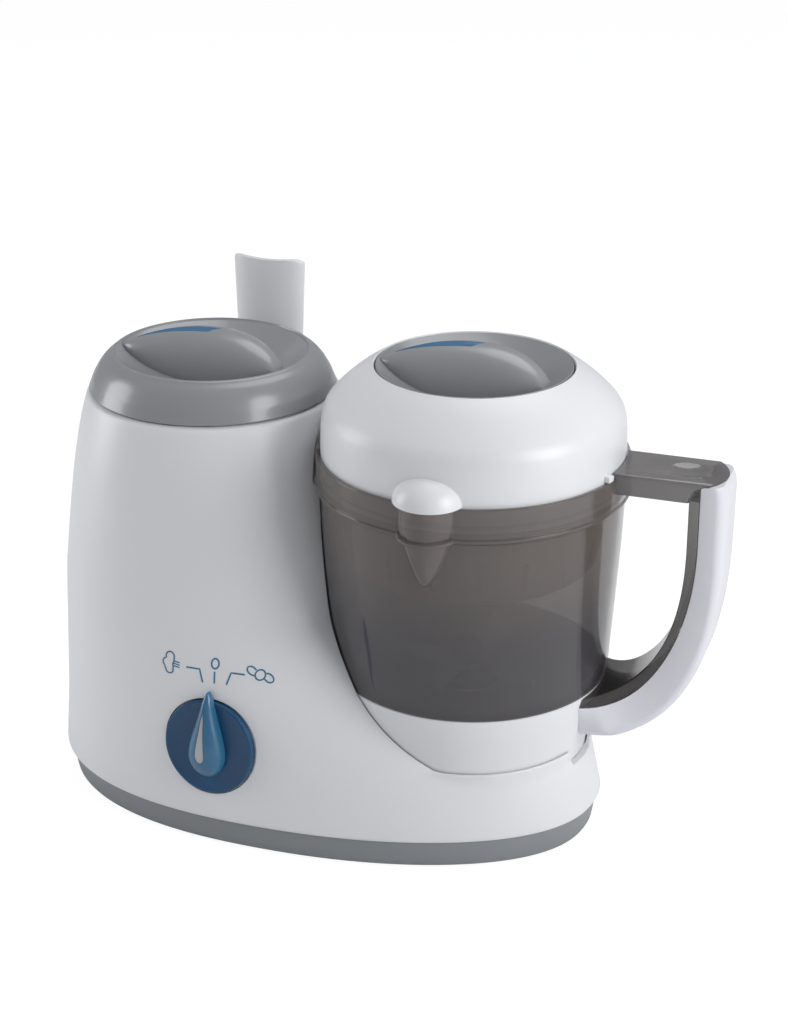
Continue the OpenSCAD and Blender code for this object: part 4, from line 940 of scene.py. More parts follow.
# place along the ridge, middle and half width of the inlay
CRESCENT_LINES = [
    (-33.5, -6.4, 0.35), (-28, -4.8, 1.25), (-22, -3.3, 1.85), (-16, -2.1, 2.2),
    (-10, -1.2, 2.4), (-4, -0.5, 2.45), (1.5, 0, 2.45),
]


def column(lines, k):
    return [(line[0], line[k]) for line in lines]


RIDGE_NEAR, RIDGE_FAR, RIDGE_TOP = (column(RIDGE_LINES, k) for k in (1, 2, 3))
CRESCENT_MIDDLE, CRESCENT_HALF = (column(CRESCENT_LINES, k) for k in (1, 2))


def dish_z(share, rim, floor):
    """Height of the scooped dish at a share of the way out to its rim."""
    return floor + (rim - floor) * min(share, 1) ** 2.2


def dish_profile(radius, rim, floor):
    return [(radius * k / 24, dish_z(k / 24, rim, floor)) for k in range(25)]


def ridge_section(x, rim, floor):
    """Near foot, far foot, foot height and top height of the ridge at a place along it."""
    top = rim + smooth_lookup(x, RIDGE_TOP)
    share = min(math.hypot(x, 13), 40.5) / GRIP_RADIUS
    foot = min(dish_z(share, rim, floor) - 1.6, top - 1)
    return smooth_lookup(x, RIDGE_NEAR), smooth_lookup(x, RIDGE_FAR), foot, top


def ridge_z(x, y, rim, floor):
    near, far, foot, top = ridge_section(x, rim, floor)
    c = (y - (near + far) / 2) / ((far - near) / 2)
    return foot + (top - foot) * max(1 - c * c, 0) ** 0.4


def ridge_solid(name, x0, radius, rim, floor):
    """Drop shaped grip ridge along X, with its tip at the far left."""
    scale = radius / GRIP_RADIUS
    stations = slow_ends(RIDGE_START, RIDGE_LENGTH, 72)

    def place(turn, ring):
        x = stations[ring]
        near, far, foot, top = ridge_section(x, rim, floor)
        y = (near + far) / 2 + (far - near) / 2 * math.cos(turn)
        z = foot + (top - foot) * max(math.sin(turn), 0) ** 0.8
        return x0 + x * scale, y * scale, z

    return ringed(name, 96, len(stations), place)


def inlay_solid(name, x0, radius, rim, floor, lift, groove=0.0):
    """Crescent let into the top of the ridge, with a slanted end and a groove along it."""
    scale, depth, count = radius / GRIP_RADIUS, 1.0, 28
    across = [(-1, -depth), (1, -depth), (1, lift), (0.5, lift)]
    across += [(0.25, lift - groove), (-0.25, lift - groove), (-0.5, lift), (-1, lift)]

    def place(turn, ring):
        share, rise = across[step_of(turn, 8)]
        x = CRESCENT_START + CRESCENT_LENGTH * ring / count
        y = smooth_lookup(x, CRESCENT_MIDDLE) + smooth_lookup(x, CRESCENT_HALF) * share
        x += 2.2 * share * (ring / count) ** 4
        return x0 + x * scale, y * scale, ridge_z(x, y, rim, floor) + rise

    return ringed(name, 8, count + 1, place)


def put_grip(holder, body, node, inlay_node, x0, radius, rim, floor):
    """Joins the ridge to its dish, finishes the holder and lets the inlay into its seat."""
    ridge = ridge_solid("ridge", x0, radius, rim, floor)
    room = [(0, floor - 1.5), (radius - 1.2, floor - 1.5), (radius - 0.6, rim + 14)]
    keep = turned("keep", room + [(0, rim + 14)], x=x0, segments=192)
    joined(ridge, keep, "INTERSECT")
    fused(holder, ridge)
    cut(holder, inlay_solid("inlay_cut", x0, radius, rim, floor, 2.0))
    faces_out(holder, 0.00003)
    smooth(holder)
    dressed(holder, body, node, "grey")
    inlay = inlay_solid("inlay", x0, radius, rim, floor, 0.12, 0.3)
    smooth(inlay)
    dressed(inlay, body, inlay_node, "inlay")


class COOKER_OT_tank_cap(bpy.types.Operator):
    """Grey cap of the water tank with its grip"""

    bl_idname = "cooker.tank_cap"
    bl_label = "Tank cap"

    def execute(self, context):
        rim, floor = 203.0, 190.3
        radius, high = 55.5, 17
        inner = dish_profile(42.4, rim - 1, floor)
        crest = [(42.75, rim - 0.82), (43.0, rim - 0.5)]
        # distance in from the side, share of the height down from the rim
        shares = [
            (12.2, 0.0), (10.9, 0.012), (10, 0.059), (8.6, 0.118), (7.4, 0.176),
            (5.6, 0.294), (4.2, 0.412), (3.05, 0.529), (1.95, 0.647), (1.15, 0.765),
            (0.35, 0.882), (0, 0.93),
        ]
        outer = spline([(radius - a, rim - high * b) for a, b in shares], 3)
        foot = [(55.35, rim - 16.1), (54.9, rim - 16.45), (54.2, rim - 16.5)]
        under = [
            (53.1, 186.5), (53.0, 188.5), (51.5, 191.5), (50.2, 194.3), (47.9, 197.2),
            (45.5, 199), (40.2, 196.2), (31.2, 189.2), (34.7, 187.7), (34.7, 188.9),
            (30.3, 188.9), (30.3, 187.7), (29.0, 187.7), (29.0, 175.7), (26.5, 175.7),
            (26.5, 187.7), (0, 187.7),
        ]
        x0 = size("tower_x")
        profile = inner + crest + outer + foot + under
        cap = turned("tank_cap_smooth", profile, x=x0, segments=192)
        put_grip(cap, "cap", "tank_cap", "tank_cap_inlay", x0, 43.2, rim, floor)
        return {"FINISHED"}


# ---------------------------------------------------------------- lid


def beak_solid():
    """Rounded white cover over the spout, in the bowl's own frame."""
    foot = 175.8
    beak = ball((0, -61.2, foot), (15.2, 15.1, 11.6), 64, 32)
    edit_all(beak)
    bpy.ops.mesh.bisect(
        plane_co=(0, 0, foot * MM), plane_no=(0, 0, 1), clear_inner=True, use_fill=True
    )
    bpy.ops.object.mode_set(mode="OBJECT")
    room = [(0, 170), (63.8, 170), (63.8, 180), (62, 192), (58.6, 198.4), (0, 198.4)]
    cut(beak, turned("inside", room, segments=128))
    return faces_out(beak)


class COOKER_OT_lid(bpy.types.Operator):
    """White lid with its beak, grip and inlay"""

    bl_idname = "cooker.lid"
    bl_label = "Lid"

    def execute(self, context):
        rim, low, radius = 214.0, 167.1, 65.8
        high = rim - low
        # distance in from the side, share of the height down from the rim
        shares = [
            (22.6, -0.004), (19, 0.043), (16.1, 0.085), (13.5, 0.128), (11.1, 0.171),
            (8.9, 0.213), (6.8, 0.256), (4.9, 0.299), (3.2, 0.341), (2, 0.384),
            (1.2, 0.426), (0.8, 0.469), (0.5, 0.512), (0.3, 0.555), (0.15, 0.64),
            (0, 0.725),
        ]
        inner = [
            (2.3, 0.68), (2.5, 0.576), (3.3, 0.469), (5.1, 0.39), (7.7, 0.324),
            (11.4, 0.243), (15.8, 0.166), (20.6, 0.098),
        ]
        profile = [(42.75, rim - 4), (42.75, rim - 0.5), (42.9, rim - 0.15)]
        profile += spline([(radius - a, rim - high * b) for a, b in shares], 3)
        profile += [(radius, low + 0.4), (65.4, low), (63.9, low), (63.7, low + 0.4)]
        profile += [(radius - a, rim - high * b) for a, b in inner]
        lid = turned("lid_dome_smooth", profile, segments=192)
        fused(lid, beak_solid())
        tab = soften(box_tool((0, -1.4, 175.8), (4.4, 2.6, 178.5)), 0.5, 40, 2)
        tab_turn = Matrix.Rotation(math.radians(-16.6), 4, "Z")
        tab.data.transform(tab_turn @ Matrix.Translation((63.9 * MM, 0, 0)))
        fused(lid, tab)
        faces_out(lid, 0.00003)
        smooth(turn_to_bowl(lid))
        dressed(lid, "lid", "lid_dome", "white")

        floor, x0 = 200.0, size("bowl_x")
        profile = dish_profile(41.7, rim, floor)
        profile += [(41.95, rim - 0.1), (42.1, rim - 0.5), (42.1, rim - 5), (36.5, rim - 7.5)]
        profile += [(26.5, floor - 1), (20.5, floor - 2), (0, floor - 2)]
        insert = turned("lid_insert_smooth", profile, x=x0, segments=192)
        put_grip(insert, "lid", "lid_insert", "lid_inlay", x0, GRIP_RADIUS, rim, floor)
        return {"FINISHED"}


# ---------------------------------------------------------------- bowl

WALL_HEIGHTS = (86, 92, 100, 108, 116, 124, 132, 140, 148, 154)
BOWL_WALL = 2.2
COLLAR_RADIUS = 67.9
COLLAR_TOP = 175.5
BEAD_RADIUS = 68.5
INLET_HEIGHT = 153
SPOUT_LOW, SPOUT_FULL = 139.0, 166.0


def spout_point(turn, z, inset=0.0):
    """Point of the spout's outline, which grows from a narrow foot to the collar."""
    share = max((z - SPOUT_LOW) / (SPOUT_FULL - SPOUT_LOW), 0)
    grown = min(share, 1) ** 0.55
    half = 14.5 * (0.12 + 0.88 * grown) - inset
    out = 20.3 * (0.5 + 0.5 * grown) - inset
    if inset == 0 and share <= 0:
        half, out = 1.2, 9.9
    return half * math.cos(turn), -56 + out * math.sin(turn)


def spout_solid(inset, top):
    low = SPOUT_LOW + inset
    levels = [low + (SPOUT_FULL - low) * (k / 22) ** 1.7 for k in range(23)] + [170, top]

    def place(turn, ring):
        z = levels[ring]
        return *spout_point(turn, min(z, SPOUT_FULL), inset), z

    return ringed("spout", 64, len(levels), place)


def bead_solid():
    """Bead round the spout that goes on from the one round the bowl."""
    rows = [(160.4, 0.05), (160.9, 0.6), (162.1, 0.6), (162.6, 0.05)]

    def place(turn, ring):
        z, proud = rows[ring]
        return *spout_point(turn, SPOUT_FULL, -proud), z

    return ringed("bead", 64, len(rows), place)


def outside_bowl(obj):
    """Leaves of a piece what stands outside the bowl's wall."""
    room = [(0, 100), (62, 100), (62, 200), (0, 200)]
    return cut(obj, turned("core", room, segments=128))


class COOKER_OT_bowl(bpy.types.Operator):
    """Smoked bowl with its spout, and the white ring under it"""

    bl_idname = "cooker.bowl"
    bl_label = "Bowl"

    def execute(self, context):
        outer = [(0, 58), (55.4, 58), (58.1, 64), (59.9, 75.5)]
        outer += bowl_wall((75.5, 80, *WALL_HEIGHTS, 157)) + [(66.2, 159.2), (67.6, 160.2)]
        collar = [
            (COLLAR_RADIUS, 160.4), (BEAD_RADIUS, 160.9), (BEAD_RADIUS, 162.1),
            (COLLAR_RADIUS, 162.6), (COLLAR_RADIUS, 175.1), (67.5, COLLAR_TOP),
        ]
        outer += fillet(collar, [0, 0.4, 0.4, 0.2, 0.3, 0], 3) + [(0, COLLAR_TOP)]
        bowl = turned("bowl_smooth", outer, segments=192)
        fused(bowl, outside_bowl(spout_solid(0, COLLAR_TOP)))
        fused(bowl, outside_bowl(bead_solid()))
        round_foot = [(48.5, 61), (53.5, 62.4), (56.3, 66.5), (57.6, 73), (58.6, 80)]
        inner = [(0, 61), (48.5, 61)] + spline(round_foot, 4)[1:]
        inner += bowl_wall(WALL_HEIGHTS, -BOWL_WALL) + [(63.8, 161.7), (64.1, 162)]
        inner += [(66.1, 162), (66.4, 162.4), (66.4, 190), (0, 190)]
        hollow = turned("hollow", inner, segments=192)
        fused(hollow, spout_solid(BOWL_WALL, 190))
        cut(bowl, hollow)
        cut(bowl, rod_tool((0, 0, 48), (0, 0, 78), 7.05, 64))
        inlet = math.pi - handle_turn()
        across, along = math.cos(inlet), math.sin(inlet)
        ends = [(far * across, far * along, INLET_HEIGHT) for far in (40, 90)]
        cut(bowl, rod_tool(*ends, 3.5, 48))
        faces_out(bowl, 0.00003)
        smooth(turn_to_bowl(bowl))
        dressed(bowl, "bowl_set", "bowl", "smoke")

        foot = [(50.4, RING_BOTTOM), (52.0, RING_BOTTOM), (52.6, 38.2)]
        foot += bowl_wall((38.9, 40.5, 44, 48, 53, 58, 62, 67, 71, 74.4))
        foot += [(61.25, 74.9), (60.9, 75.2), (60.0, 75.2), (58.2, 64.0), (55.5, 57.9)]
        foot += [(20, 57.9), (20, 55), (52.0, 55), (50.4, 46)]
        ring = turned("bowl_ring_smooth", foot, segments=192)
        smooth(turn_to_bowl(ring))
        dressed(ring, "bowl_set", "bowl_ring", "white")
        return {"FINISHED"}


# ---------------------------------------------------------------- handle

ARM_X, ARM_Z = 50.0, 150.0
PLATE_END = 110.8
PLATE_TOP = 178.0
PLATE_LOW = 168.7
PLATE_HALF = 14.4
FRAME_REACH = 101.6
ROOT_TOP = 89

ARM_HALF = [(85, 12.0), (PLATE_LOW, PLATE_HALF)]
ROOT_FLARE = [
    (46, 1.1), (54, 1), (57, 0.83), (61, 0.6), (66, 0.39), (72, 0.2), (80, 0.06), (90, 0),
]
ROOT_HEIGHT = [
    (49.5, 12), (55.5, 15.8), (60.5, 20.6), (66.5, 24), (71.5, 24.5), (76.5, 21.1),
    (83.5, 15.8), (89.5, 10.1),
]
# furthest reach, lowest point and power of each outline of the arm
WINDOW = (97.2, 74.0, 2.35)
DIVIDE = (FRAME_REACH, 65.0, 2.1)
SHELL_INSIDE = (FRAME_REACH + 0.3, 64.7, 2.1)
BACK = (112.7, 50.5, 2.4)


def arm_curve(reach, depth, power, turn):
    """Point of a handle outline; turn 0 is the level where the arm starts to bend."""
    x = (reach - ARM_X) * max(math.cos(turn), 0) ** (2 / power)
    z = (ARM_Z - depth) * max(math.sin(turn), 0) ** (2 / power)
    return ARM_X + x, ARM_Z - z


def arm_half_width(x, z):
    """Half width of the handle: broad at the plate, narrow at the arm, flared at its root."""
    arm = lookup(z, ARM_HALF)
    if z >= ROOT_TOP:
        return arm
    flare = 12 * smooth_lookup(x, ROOT_FLARE)
    return min(arm + flare, max(arm, smooth_lookup(z, ROOT_HEIGHT)))


def arm_solid(name, inner, outer, top, corner_in, corner_out, crown=0.0, seam_side=1):
    """Curved arm with a rounded section between an inner and an outer outline."""
    per, steps, straight, half = 8, 44, 8, 12.0
    rises = [(top - ARM_Z) * (1 - k / straight) for k in range(straight)]
    stations = [(rise, 0) for rise in rises]
    stations += [(0, 0.5 * math.pi * k / steps) for k in range(steps + 1)]

    def place(turn, ring):
        rise, bend = stations[ring]
        pi, po = (
            Vector((x, z + rise)) for x, z in (arm_curve(*line, bend) for line in (inner, outer))
        )
        depth = (po - pi).length
        along = (po - pi).normalized()
        quarter, step = divmod(step_of(turn, 4 * per), per)
        ro = min(corner_out, depth * 0.8)
        ri = min(corner_in, depth * 0.4)
        cu, cv, r = (
            (depth - ro, half - ro, ro),
            (ri, half - ri, ri),
            (ri, -half + ri, ri),
            (depth - ro, -half + ro, ro),
        )[quarter]
        angle = math.radians(90 * quarter + 90 * step / (per - 1))
        u = cu + r * math.cos(angle)
        p = pi + along * u
        v = (cv + r * math.sin(angle)) * arm_half_width(p.x, p.y) / half
        # the seam climbs round the flared root, and the shell's top leans in
        share = u / depth if seam_side == 1 else 1 - u / depth
        climb = 0.5 * max(abs(v) - 12.5, 0) * share if p.y < ROOT_TOP else 0.0
        lean = crown * (max(p.y - 171, 0) / 6) ** 2 * u / depth
        return p.x - lean, v, p.y + climb

    return ringed(name, 4 * per, len(stations), place)


def envelope_tool(gap, over_collar=False):
    """Outside of the bowl grown by a gap, which the handle stays clear of."""
    low_wall = (38, 40, 44, 48, 54, 62, 69, 75.5, 92, 112, 136, 157)
    collar, bead = COLLAR_RADIUS + gap, BEAD_RADIUS + gap
    pts = [(0, 0), (52.9 + gap, 36)] + bowl_wall(low_wall, gap)
    pts += [(66.2 + gap, 159.2), (bead, 160.0), (bead, 162.4), (collar, 162.8)]
    if over_collar:
        pts += [(collar, 175.7), (66.3, 175.7), (66.3, 220)]
    else:
        pts += [(collar, 220)]
    return turned("envelope", pts + [(0, 220)], segments=192)


def plate_solid(grow=0.0, lift=0.0):
    """Thumb plate: full thickness up to the frame, then a lip that thins to its rounded end."""
    lip = PLATE_END - FRAME_REACH
    thick = PLATE_TOP - PLATE_LOW
    under = spline([
        (PLATE_END - 0.2, PLATE_TOP - 0.9 - grow),
        (PLATE_END - 0.32 * lip, PLATE_LOW + 0.85 * thick - grow),
        (FRAME_REACH + 0.26 * lip, PLATE_LOW + 0.57 * thick - grow),
        (FRAME_REACH + 0.07 * lip, PLATE_LOW + 0.25 * thick - grow),
        (FRAME_REACH, PLATE_LOW - grow),
    ], 5)
    top = PLATE_TOP + lift
    side = [(50, top), (70, top), (PLATE_END - 1, top), (PLATE_END, top - 0.5)]
    side += under + [(70, PLATE_LOW - grow), (50, PLATE_LOW - grow)]
    half = PLATE_HALF + grow
    places = [-half, -half + 0.12, -half + 0.4, -half + 0.8]
    places += [(-half + 0.8) * (1 - k / 8) for k in range(1, 8)]
    places += [0.0] + [-y for y in reversed(places)]
    edge_rounding = (0.8, 0.42, 0.12)

    def place(turn, ring):
        y = places[ring]
        x, z = side[step_of(turn, len(side))]
        from_edge = min(ring, len(places) - 1 - ring)
        shy = edge_rounding[from_edge] if from_edge < 3 and not grow else 0.0
        if x > 90:
            bow = (1 - (y / (26 + grow)) ** 2) ** 0.5
            x -= 34 - (34 + grow) * bow + shy * 0.6
        if z > PLATE_TOP - 0.6:
            z -= shy
        elif z < PLATE_LOW + 0.5:
            z += shy * 0.5
        return x, y, z

    return faces_out(ringed("plate", len(side), len(places), place))


class COOKER_OT_handle(bpy.types.Operator):
    """Smoked handle frame with the thumb plate, and its white shell"""

    bl_idname = "cooker.handle"
    bl_label = "Handle"

    def execute(self, context):
        handle = arm_solid("handle_frame_smooth", WINDOW, DIVIDE, 170.0, 0.8, 0.25)
        fused(handle, plate_solid())
        cut(handle, ball((PLATE_END - 17, 0, PLATE_TOP + 15.8), (23, 19, 17.4), 96, 64))
        cut(handle, envelope_tool(0.02, over_collar=True))
        faces_out(handle, 0.00003)
        smooth(turn_to_bowl(handle))
        dressed(handle, "bowl_set", "handle_frame", "frame")

        shell = arm_solid(
            "handle_shell_smooth", SHELL_INSIDE, BACK, 177.0, 0.35, 4.6, crown=1.8, seam_side=0
        )
        cut(shell, plate_solid(0.3, 9))
        cut(shell, envelope_tool(0.1))
        faces_out(shell, 0.00003)
        smooth(turn_to_bowl(shell))
        dressed(shell, "bowl_set", "handle_shell", "handle")
        return {"FINISHED"}


# ---------------------------------------------------------------- knob

DISC_FACE = 1.0

# place up the panel, half width or height over the disc
POINTER_HALF = [
    (-14.0, 0.2), (-13.4, 2.6), (-11.5, 5.3), (-8.5, 7.4), (-4.5, 8.5), (0, 8.3), (6, 6.9),
    (12, 5.1), (18, 3.4), (23, 2.1), (25.6, 1.0), (26.2, 0.2),
]
POINTER_TOP = [
    (-14.0, 0.4), (-13, 2.6), (-10, 5.2), (-6, 7.0), (0, 7.8), (8, 7.0), (16, 5.6), (22, 4.2),
    (26.2, 2.4),
]
LENS_HALF = [
    (-5.4, 0.1), (-5.0, 1.0), (-3.8, 1.7), (-1.8, 2.0), (2.2, 1.7), (8, 1.1), (14, 0.6),
    (17.0, 0.12),
]


def pointer_solid():
    stations = slow_ends(-14.0, 40.2, 48)

    def place(turn, ring):
        v = stations[ring]
        rise = smooth_lookup(v, POINTER_TOP) * max(math.sin(turn), 0) ** 0.75
        return smooth_lookup(v, POINTER_HALF) * math.cos(turn), v, DISC_FACE + rise

    return ringed("knob_pointer_smooth", 64, len(stations), place)


def lens_solid(grow, rise):
    """Drop shaped window along the pointer, standing proud by rise."""
    stations = slow_ends(-5.4, 22.4, 24)

    def place(turn, ring):
        v, corner = stations[ring], turn + math.pi / 4
        half = smooth_lookup(v, LENS_HALF) + grow
        surface = DISC_FACE + smooth_lookup(v, POINTER_TOP)
        x = -0.5 + half * max(-1, min(1, 1.42 * math.cos(corner)))
        return x, v, surface + rise if math.sin(corner) > 0 else surface - 2.6

    return ringed("lens", 4, len(stations), place)


class COOKER_OT_knob(bpy.types.Operator):
    """Selector disc, pointer and lens"""

    bl_idname = "cooker.knob"
    bl_label = "Knob"

    def execute(self, context):
        r = size("knob_radius")
        profile = [(4.5, -0.5), (4.5, -2.0), (r - 0.2, -2.0), (r, -1.8), (r, 0.9)]
        profile += [(r - 0.15, 1.3), (r - 0.6, 1.55), (r - 1.2, 1.5), (r - 2.0, 1.25)]
        profile += [(0, DISC_FACE)]
        disc = turned("knob_disc_smooth", profile, segments=128, loop=False)
        pointer = pointer_solid()
        cut(pointer, lens_solid(0.12, 2.0))
        faces_out(pointer)
        lens = lens_solid(0.0, -0.25)
        for piece, node, slot, finish in (
            (disc, "knob_disc", "knob_blue", "disc"),
            (pointer, "knob_pointer", "pointer_blue", "pointer"),
            (lens, "knob_lens", "clear_lens", "lens"),
        ):
            piece.data.transform(knob_matrix())
            smooth(piece, 40)
            dressed(piece, "knob", node, finish)
        return {"FINISHED"}


# ---------------------------------------------------------------- printed marks

LINE = 0.72


def ribbon(points, width, closed, lift=0.06):
    """Flat printed line along panel points (x, z), lying on the front of the body."""
    n = len(points)
    verts, faces = [], []
    for i, p in enumerate(points):
        a = points[(i - 1) % n] if closed or i else p
        b = points[(i + 1) % n] if closed or i < n - 1 else p
        d = (b - a).normalized()
        side = Vector((-d.y, d.x)) * width / 2
        verts += [front_face(q.x, q.y, lift) * MM for q in (p + side, p - side)]
    for i in range(n if closed else n - 1):
        j = (i + 1) % n
        faces.append((2 * i, 2 * i + 1, 2 * j + 1, 2 * j))
    return verts, faces


def close_points(points, closed):
    """The same line with no step longer than about 1.2 mm."""
    dense = []
    count = len(points)
    for i in range(count if closed else count - 1):
        a, b = Vector(points[i]), Vector(points[(i + 1) % count])
        steps = max(1, int((b - a).length / 1.2))
        dense += [a.lerp(b, k / steps) for k in range(steps)]
    return dense if closed else dense + [Vector(points[-1])]


def arc(x, z, rx, rz, start, end, steps, turn=0.0):
    """Arc round a point of the panel, given from the middle of the knob."""
    out = []
    t = math.radians(turn)
    for k in range(steps + 1):
        a = math.radians(start + (end - start) * k / steps)
        u, v = rx * math.cos(a), rz * math.sin(a)
        out.append((
            KNOB.x + x + u * math.cos(t) - v * math.sin(t),
            KNOB.z + z + u * math.sin(t) + v * math.cos(t),
        ))
    return out


def path(*points):
    return [(KNOB.x + x, KNOB.z + z) for x, z in points]


def mark_lines():
    """Points, width and closing of every printed line."""
    zero = arc(1.0, 38.0, 1.65, 2.2, 0, 360, 28)[:-1]
    cloud = arc(-20.3, 38.1, 2.0, 2.2, -10, 200, 12)
    cloud += arc(-22.1, 35.3, 1.7, 1.9, 110, 230, 8)
    cloud += arc(-20.5, 32.3, 1.9, 1.9, 190, 330, 9)
    cloud += path((-18.7, 33.1), (-18.9, 34.9), (-18.3, 36.3))
    sweet = arc(20.9, 34.9, 2.15, 2.15, 0, 360, 24)[:-1]
    return [
        (zero, LINE, True),
        (path((1.0, 34.4), (1.2, 29.3)), LINE, False),
        (path((-12.3, 34.6), (-6.0, 34.7), (-4.3, 28.9)), LINE, False),
        (path((14.4, 34.6), (8.4, 34.8), (6.7, 29.4)), LINE, False),
        (cloud, LINE * 0.9, True),
        *(
            (path((-18.7, 36.3 - 1.1 * k), (-15.6, 35.9 - 1.1 * k)), LINE * 0.75, False)
            for k in range(3)
        ),
        (sweet, LINE * 0.9, True),
        (arc(17.2, 36.4, 2.4, 1.5, 60, 330, 12, -35), LINE * 0.9, False),
        (arc(24.6, 33.8, 2.4, 1.5, 240, 510, 12, -35), LINE * 0.9, False),
    ]


class COOKER_OT_marks(bpy.types.Operator):
    """Printed zero, ticks and two plain pictures round the knob"""

    bl_idname = "cooker.marks"
    bl_label = "Marks"

    def execute(self, context):
        verts, faces = [], []
        for points, width, closed in mark_lines():
            v, f = ribbon(close_points(points, closed), width, closed)
            faces += [tuple(i + len(verts) for i in face) for face in f]
            verts += v
        mesh = bpy.data.meshes.new("knob_marks")
        mesh.from_pydata([tuple(v) for v in verts], [], faces)
        mesh.update()
        marks = bpy.data.objects.new("knob_marks", mesh)
        context.scene.collection.objects.link(marks)
        only(marks)
        thick = marks.modifiers.new("Solidify", "SOLIDIFY")
        thick.thickness = 0.00008
        thick.offset = 0
        bpy.ops.object.modifier_apply(modifier=thick.name)
        faces_out(marks, 0.000001)
        dressed(marks, "base_unit", None, "ink")
        return {"FINISHED"}


# ---------------------------------------------------------------- spatula

# height over its foot, half width
SPATULA_SIDES = [
    (0, 11.8), (8, 13.8), (60, 15.2), (118, 16.6), (151.5, SPATULA_HALF), (152.4, 17.6),
    (153.2, 17.1), (153.75, 16.2), (154, 15.0),
]


class COOKER_OT_spatula(bpy.types.Operator):
    """Hollow white spatula standing behind the tower"""

    bl_idname = "cooker.spatula"
    bl_label = "Spatula"

    def execute(self, context):
        low, high = 73.3, 227.3
        outside, inside, points = 30.6, 28, 80
        levels = [low + (high - low) * k / 40 for k in range(40)]
        levels += [high - down for down in (2.5, 1.6, 0.8, 0.25, 0)]
        centre = channel_depth() + 0.6 + outside

        def place(turn, ring):
            z = levels[ring]
            k = step_of(turn, points)
            outer = k < points // 2
            across = (k if outer else points - 1 - k) / (points // 2 - 1)
            u = math.sin(math.pi * (across - 0.5))
            x = lookup(z - low, SPATULA_SIDES) * u
            edge = 0.9 * abs(u) ** 12
            radius = outside - edge if outer else inside + edge
            return x, centre - math.sqrt(radius * radius - x * x), z

        blade = ringed("spatula_smooth", points, len(levels), place)
        faces_out(turn_to_spatula(blade))
        smooth(blade, 45)
        dressed(blade, "spatula_body", "spatula", "white")
        return {"FINISHED"}


# ---------------------------------------------------------------- stage

AIM = (0.03, 0, 0.11)
# name, place in metres, width and height in metres, power in watts
LAMPS = (
    ("key_right", (1.35, -0.25, 0.7), (0.8, 1.1), 12.5),
    ("fill_left", (-1.35, -0.35, 0.45), (0.7, 1.1), 8.0),
    ("top", (0.1, 0.5, 1.4), (1.1, 1.1), 7.0),
)
CAMERA_PLACE = (391.0, -789.4, 512.5)
CAMERA_TARGET = (31.3, 0, 139.0)


def facing(obj, place, target):
    obj.location = place
    obj.rotation_mode = "QUATERNION"
    obj.rotation_quaternion = (Vector(target) - Vector(place)).to_track_quat("-Z", "Y")


def seen_by_eye(tree):
    """1 for a ray that comes from the camera, straight or through a clear wall."""
    rays = new_node(tree, "LightPath")
    seen = new_node(tree, "Math", operation="MAXIMUM")
    for k, kind in enumerate(("Is Camera Ray", "Is Transmission Ray")):
        link(tree, (rays.outputs[kind], seen.inputs[k]))
    return seen.outputs[0]


def mixed_shader(tree, share, plain, bright, surface):
    """Plain shader to the light, bright shader to the share that is seen."""
    mix = new_node(tree, "MixShader")
    link(
        tree,
        (share, mix.inputs["Fac"]),
        (plain.outputs[0], mix.inputs[1]),
        (bright.outputs[0], mix.inputs[2]),
        (mix.outputs[0], surface),
    )


def stage_white():
    """Pale floor that is white to the camera and keeps the soft shadow."""
    m = bpy.data.materials.new("Stage white")
    m.use_nodes = True
    tree = m.node_tree
    p = tree.nodes["Principled BSDF"]
    p.inputs["Base Color"].default_value = (0.86, 0.86, 0.87, 1)
    p.inputs["Roughness"].default_value = 0.9
    p.inputs["Specular IOR Level"].default_value = 0.1
    glow = new_node(tree, "Emission", {"Color": (1, 1, 1, 1), "Strength": 1.16})
    part = new_node(tree, "Math", {1: 0.8}, operation="MULTIPLY")
    link(tree, (seen_by_eye(tree), part.inputs[0]))
    surface = tree.nodes["Material Output"].inputs["Surface"]
    mixed_shader(tree, part.outputs[0], p, glow, surface)
    return m


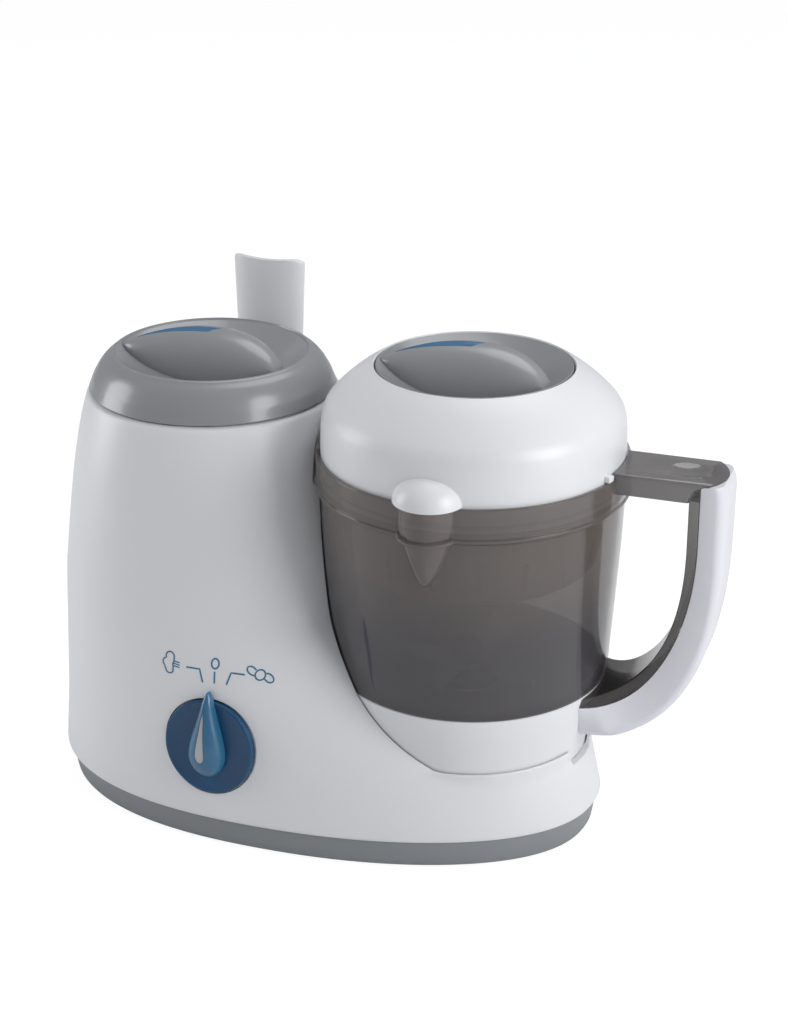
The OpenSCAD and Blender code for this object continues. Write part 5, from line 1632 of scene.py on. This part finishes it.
class COOKER_OT_stage(bpy.types.Operator):
    """Pale floor, soft studio lamps and the camera"""

    bl_idname = "cooker.stage"
    bl_label = "Stage"

    def execute(self, context):
        scene = context.scene
        start_clean()
        bpy.ops.mesh.primitive_plane_add(size=8, location=(0, 0, -0.0002))
        floor = named(context.object, "floor")
        floor.data.materials.append(stage_white())
        for name, place, (width, height), power in LAMPS:
            start_clean()
            bpy.ops.object.light_add(type="AREA", location=place)
            lamp = named(context.object, name)
            lamp.data.shape = "ELLIPSE"
            lamp.data.size = width
            lamp.data.size_y = height
            lamp.data.energy = power
            facing(lamp, place, AIM)

        scene.world = scene.world or bpy.data.worlds.new("Studio")
        scene.world.use_nodes = True
        tree = scene.world.node_tree
        tree.nodes.clear()
        out = new_node(tree, "OutputWorld")
        plain = new_node(tree, "Background", {"Color": (0.86, 0.87, 0.90, 1), "Strength": 0.32})
        bright = new_node(tree, "Background", {"Color": (1, 1, 1, 1), "Strength": 1.0})
        mixed_shader(tree, seen_by_eye(tree), plain, bright, out.inputs["Surface"])
        scene.view_settings.view_transform = "Standard"

        camera = bpy.data.cameras.new("camera")
        camera.lens = 74.83
        camera.sensor_width = 36
        camera.clip_end = 20
        scene.camera = bpy.data.objects.new("camera", camera)
        scene.collection.objects.link(scene.camera)
        facing(scene.camera, Vector(CAMERA_PLACE) * MM, Vector(CAMERA_TARGET) * MM)
        return {"FINISHED"}


# ---------------------------------------------------------------- add-on

STEPS = (
    COOKER_OT_stage,
    COOKER_OT_finishes,
    COOKER_OT_body,
    COOKER_OT_skirt,
    COOKER_OT_tank_cap,
    COOKER_OT_lid,
    COOKER_OT_bowl,
    COOKER_OT_handle,
    COOKER_OT_knob,
    COOKER_OT_marks,
    COOKER_OT_spatula,
)


class COOKER_PT_panel(bpy.types.Panel):
    """Lists the cooker's pieces"""

    bl_idname = "COOKER_PT_panel"
    bl_label = "Cooker"
    bl_space_type = "VIEW_3D"
    bl_region_type = "UI"
    bl_category = "Cooker"

    def draw(self, context):
        for group in (context.scene.cooker_sizes, context.scene.cooker_colours):
            for key in group.__annotations__:
                self.layout.prop(group, key)
        for op in STEPS:
            self.layout.operator(op.bl_idname)


CLASSES = (CookerSizes, CookerColours, *STEPS, COOKER_PT_panel)


def register():
    for c in CLASSES:
        bpy.utils.register_class(c)
    bpy.types.Scene.cooker_sizes = bpy.props.PointerProperty(type=CookerSizes)
    bpy.types.Scene.cooker_colours = bpy.props.PointerProperty(type=CookerColours)


def unregister():
    del bpy.types.Scene.cooker_colours
    del bpy.types.Scene.cooker_sizes
    for c in reversed(CLASSES):
        bpy.utils.unregister_class(c)


def main():
    register()
    for op in STEPS:
        family, action = op.bl_idname.split(".")
        if getattr(getattr(bpy.ops, family), action)() != {"FINISHED"}:
            raise RuntimeError(op.bl_label + " did not finish")
        print("made", op.bl_label, flush=True)


if __name__ == "__main__":
    main()
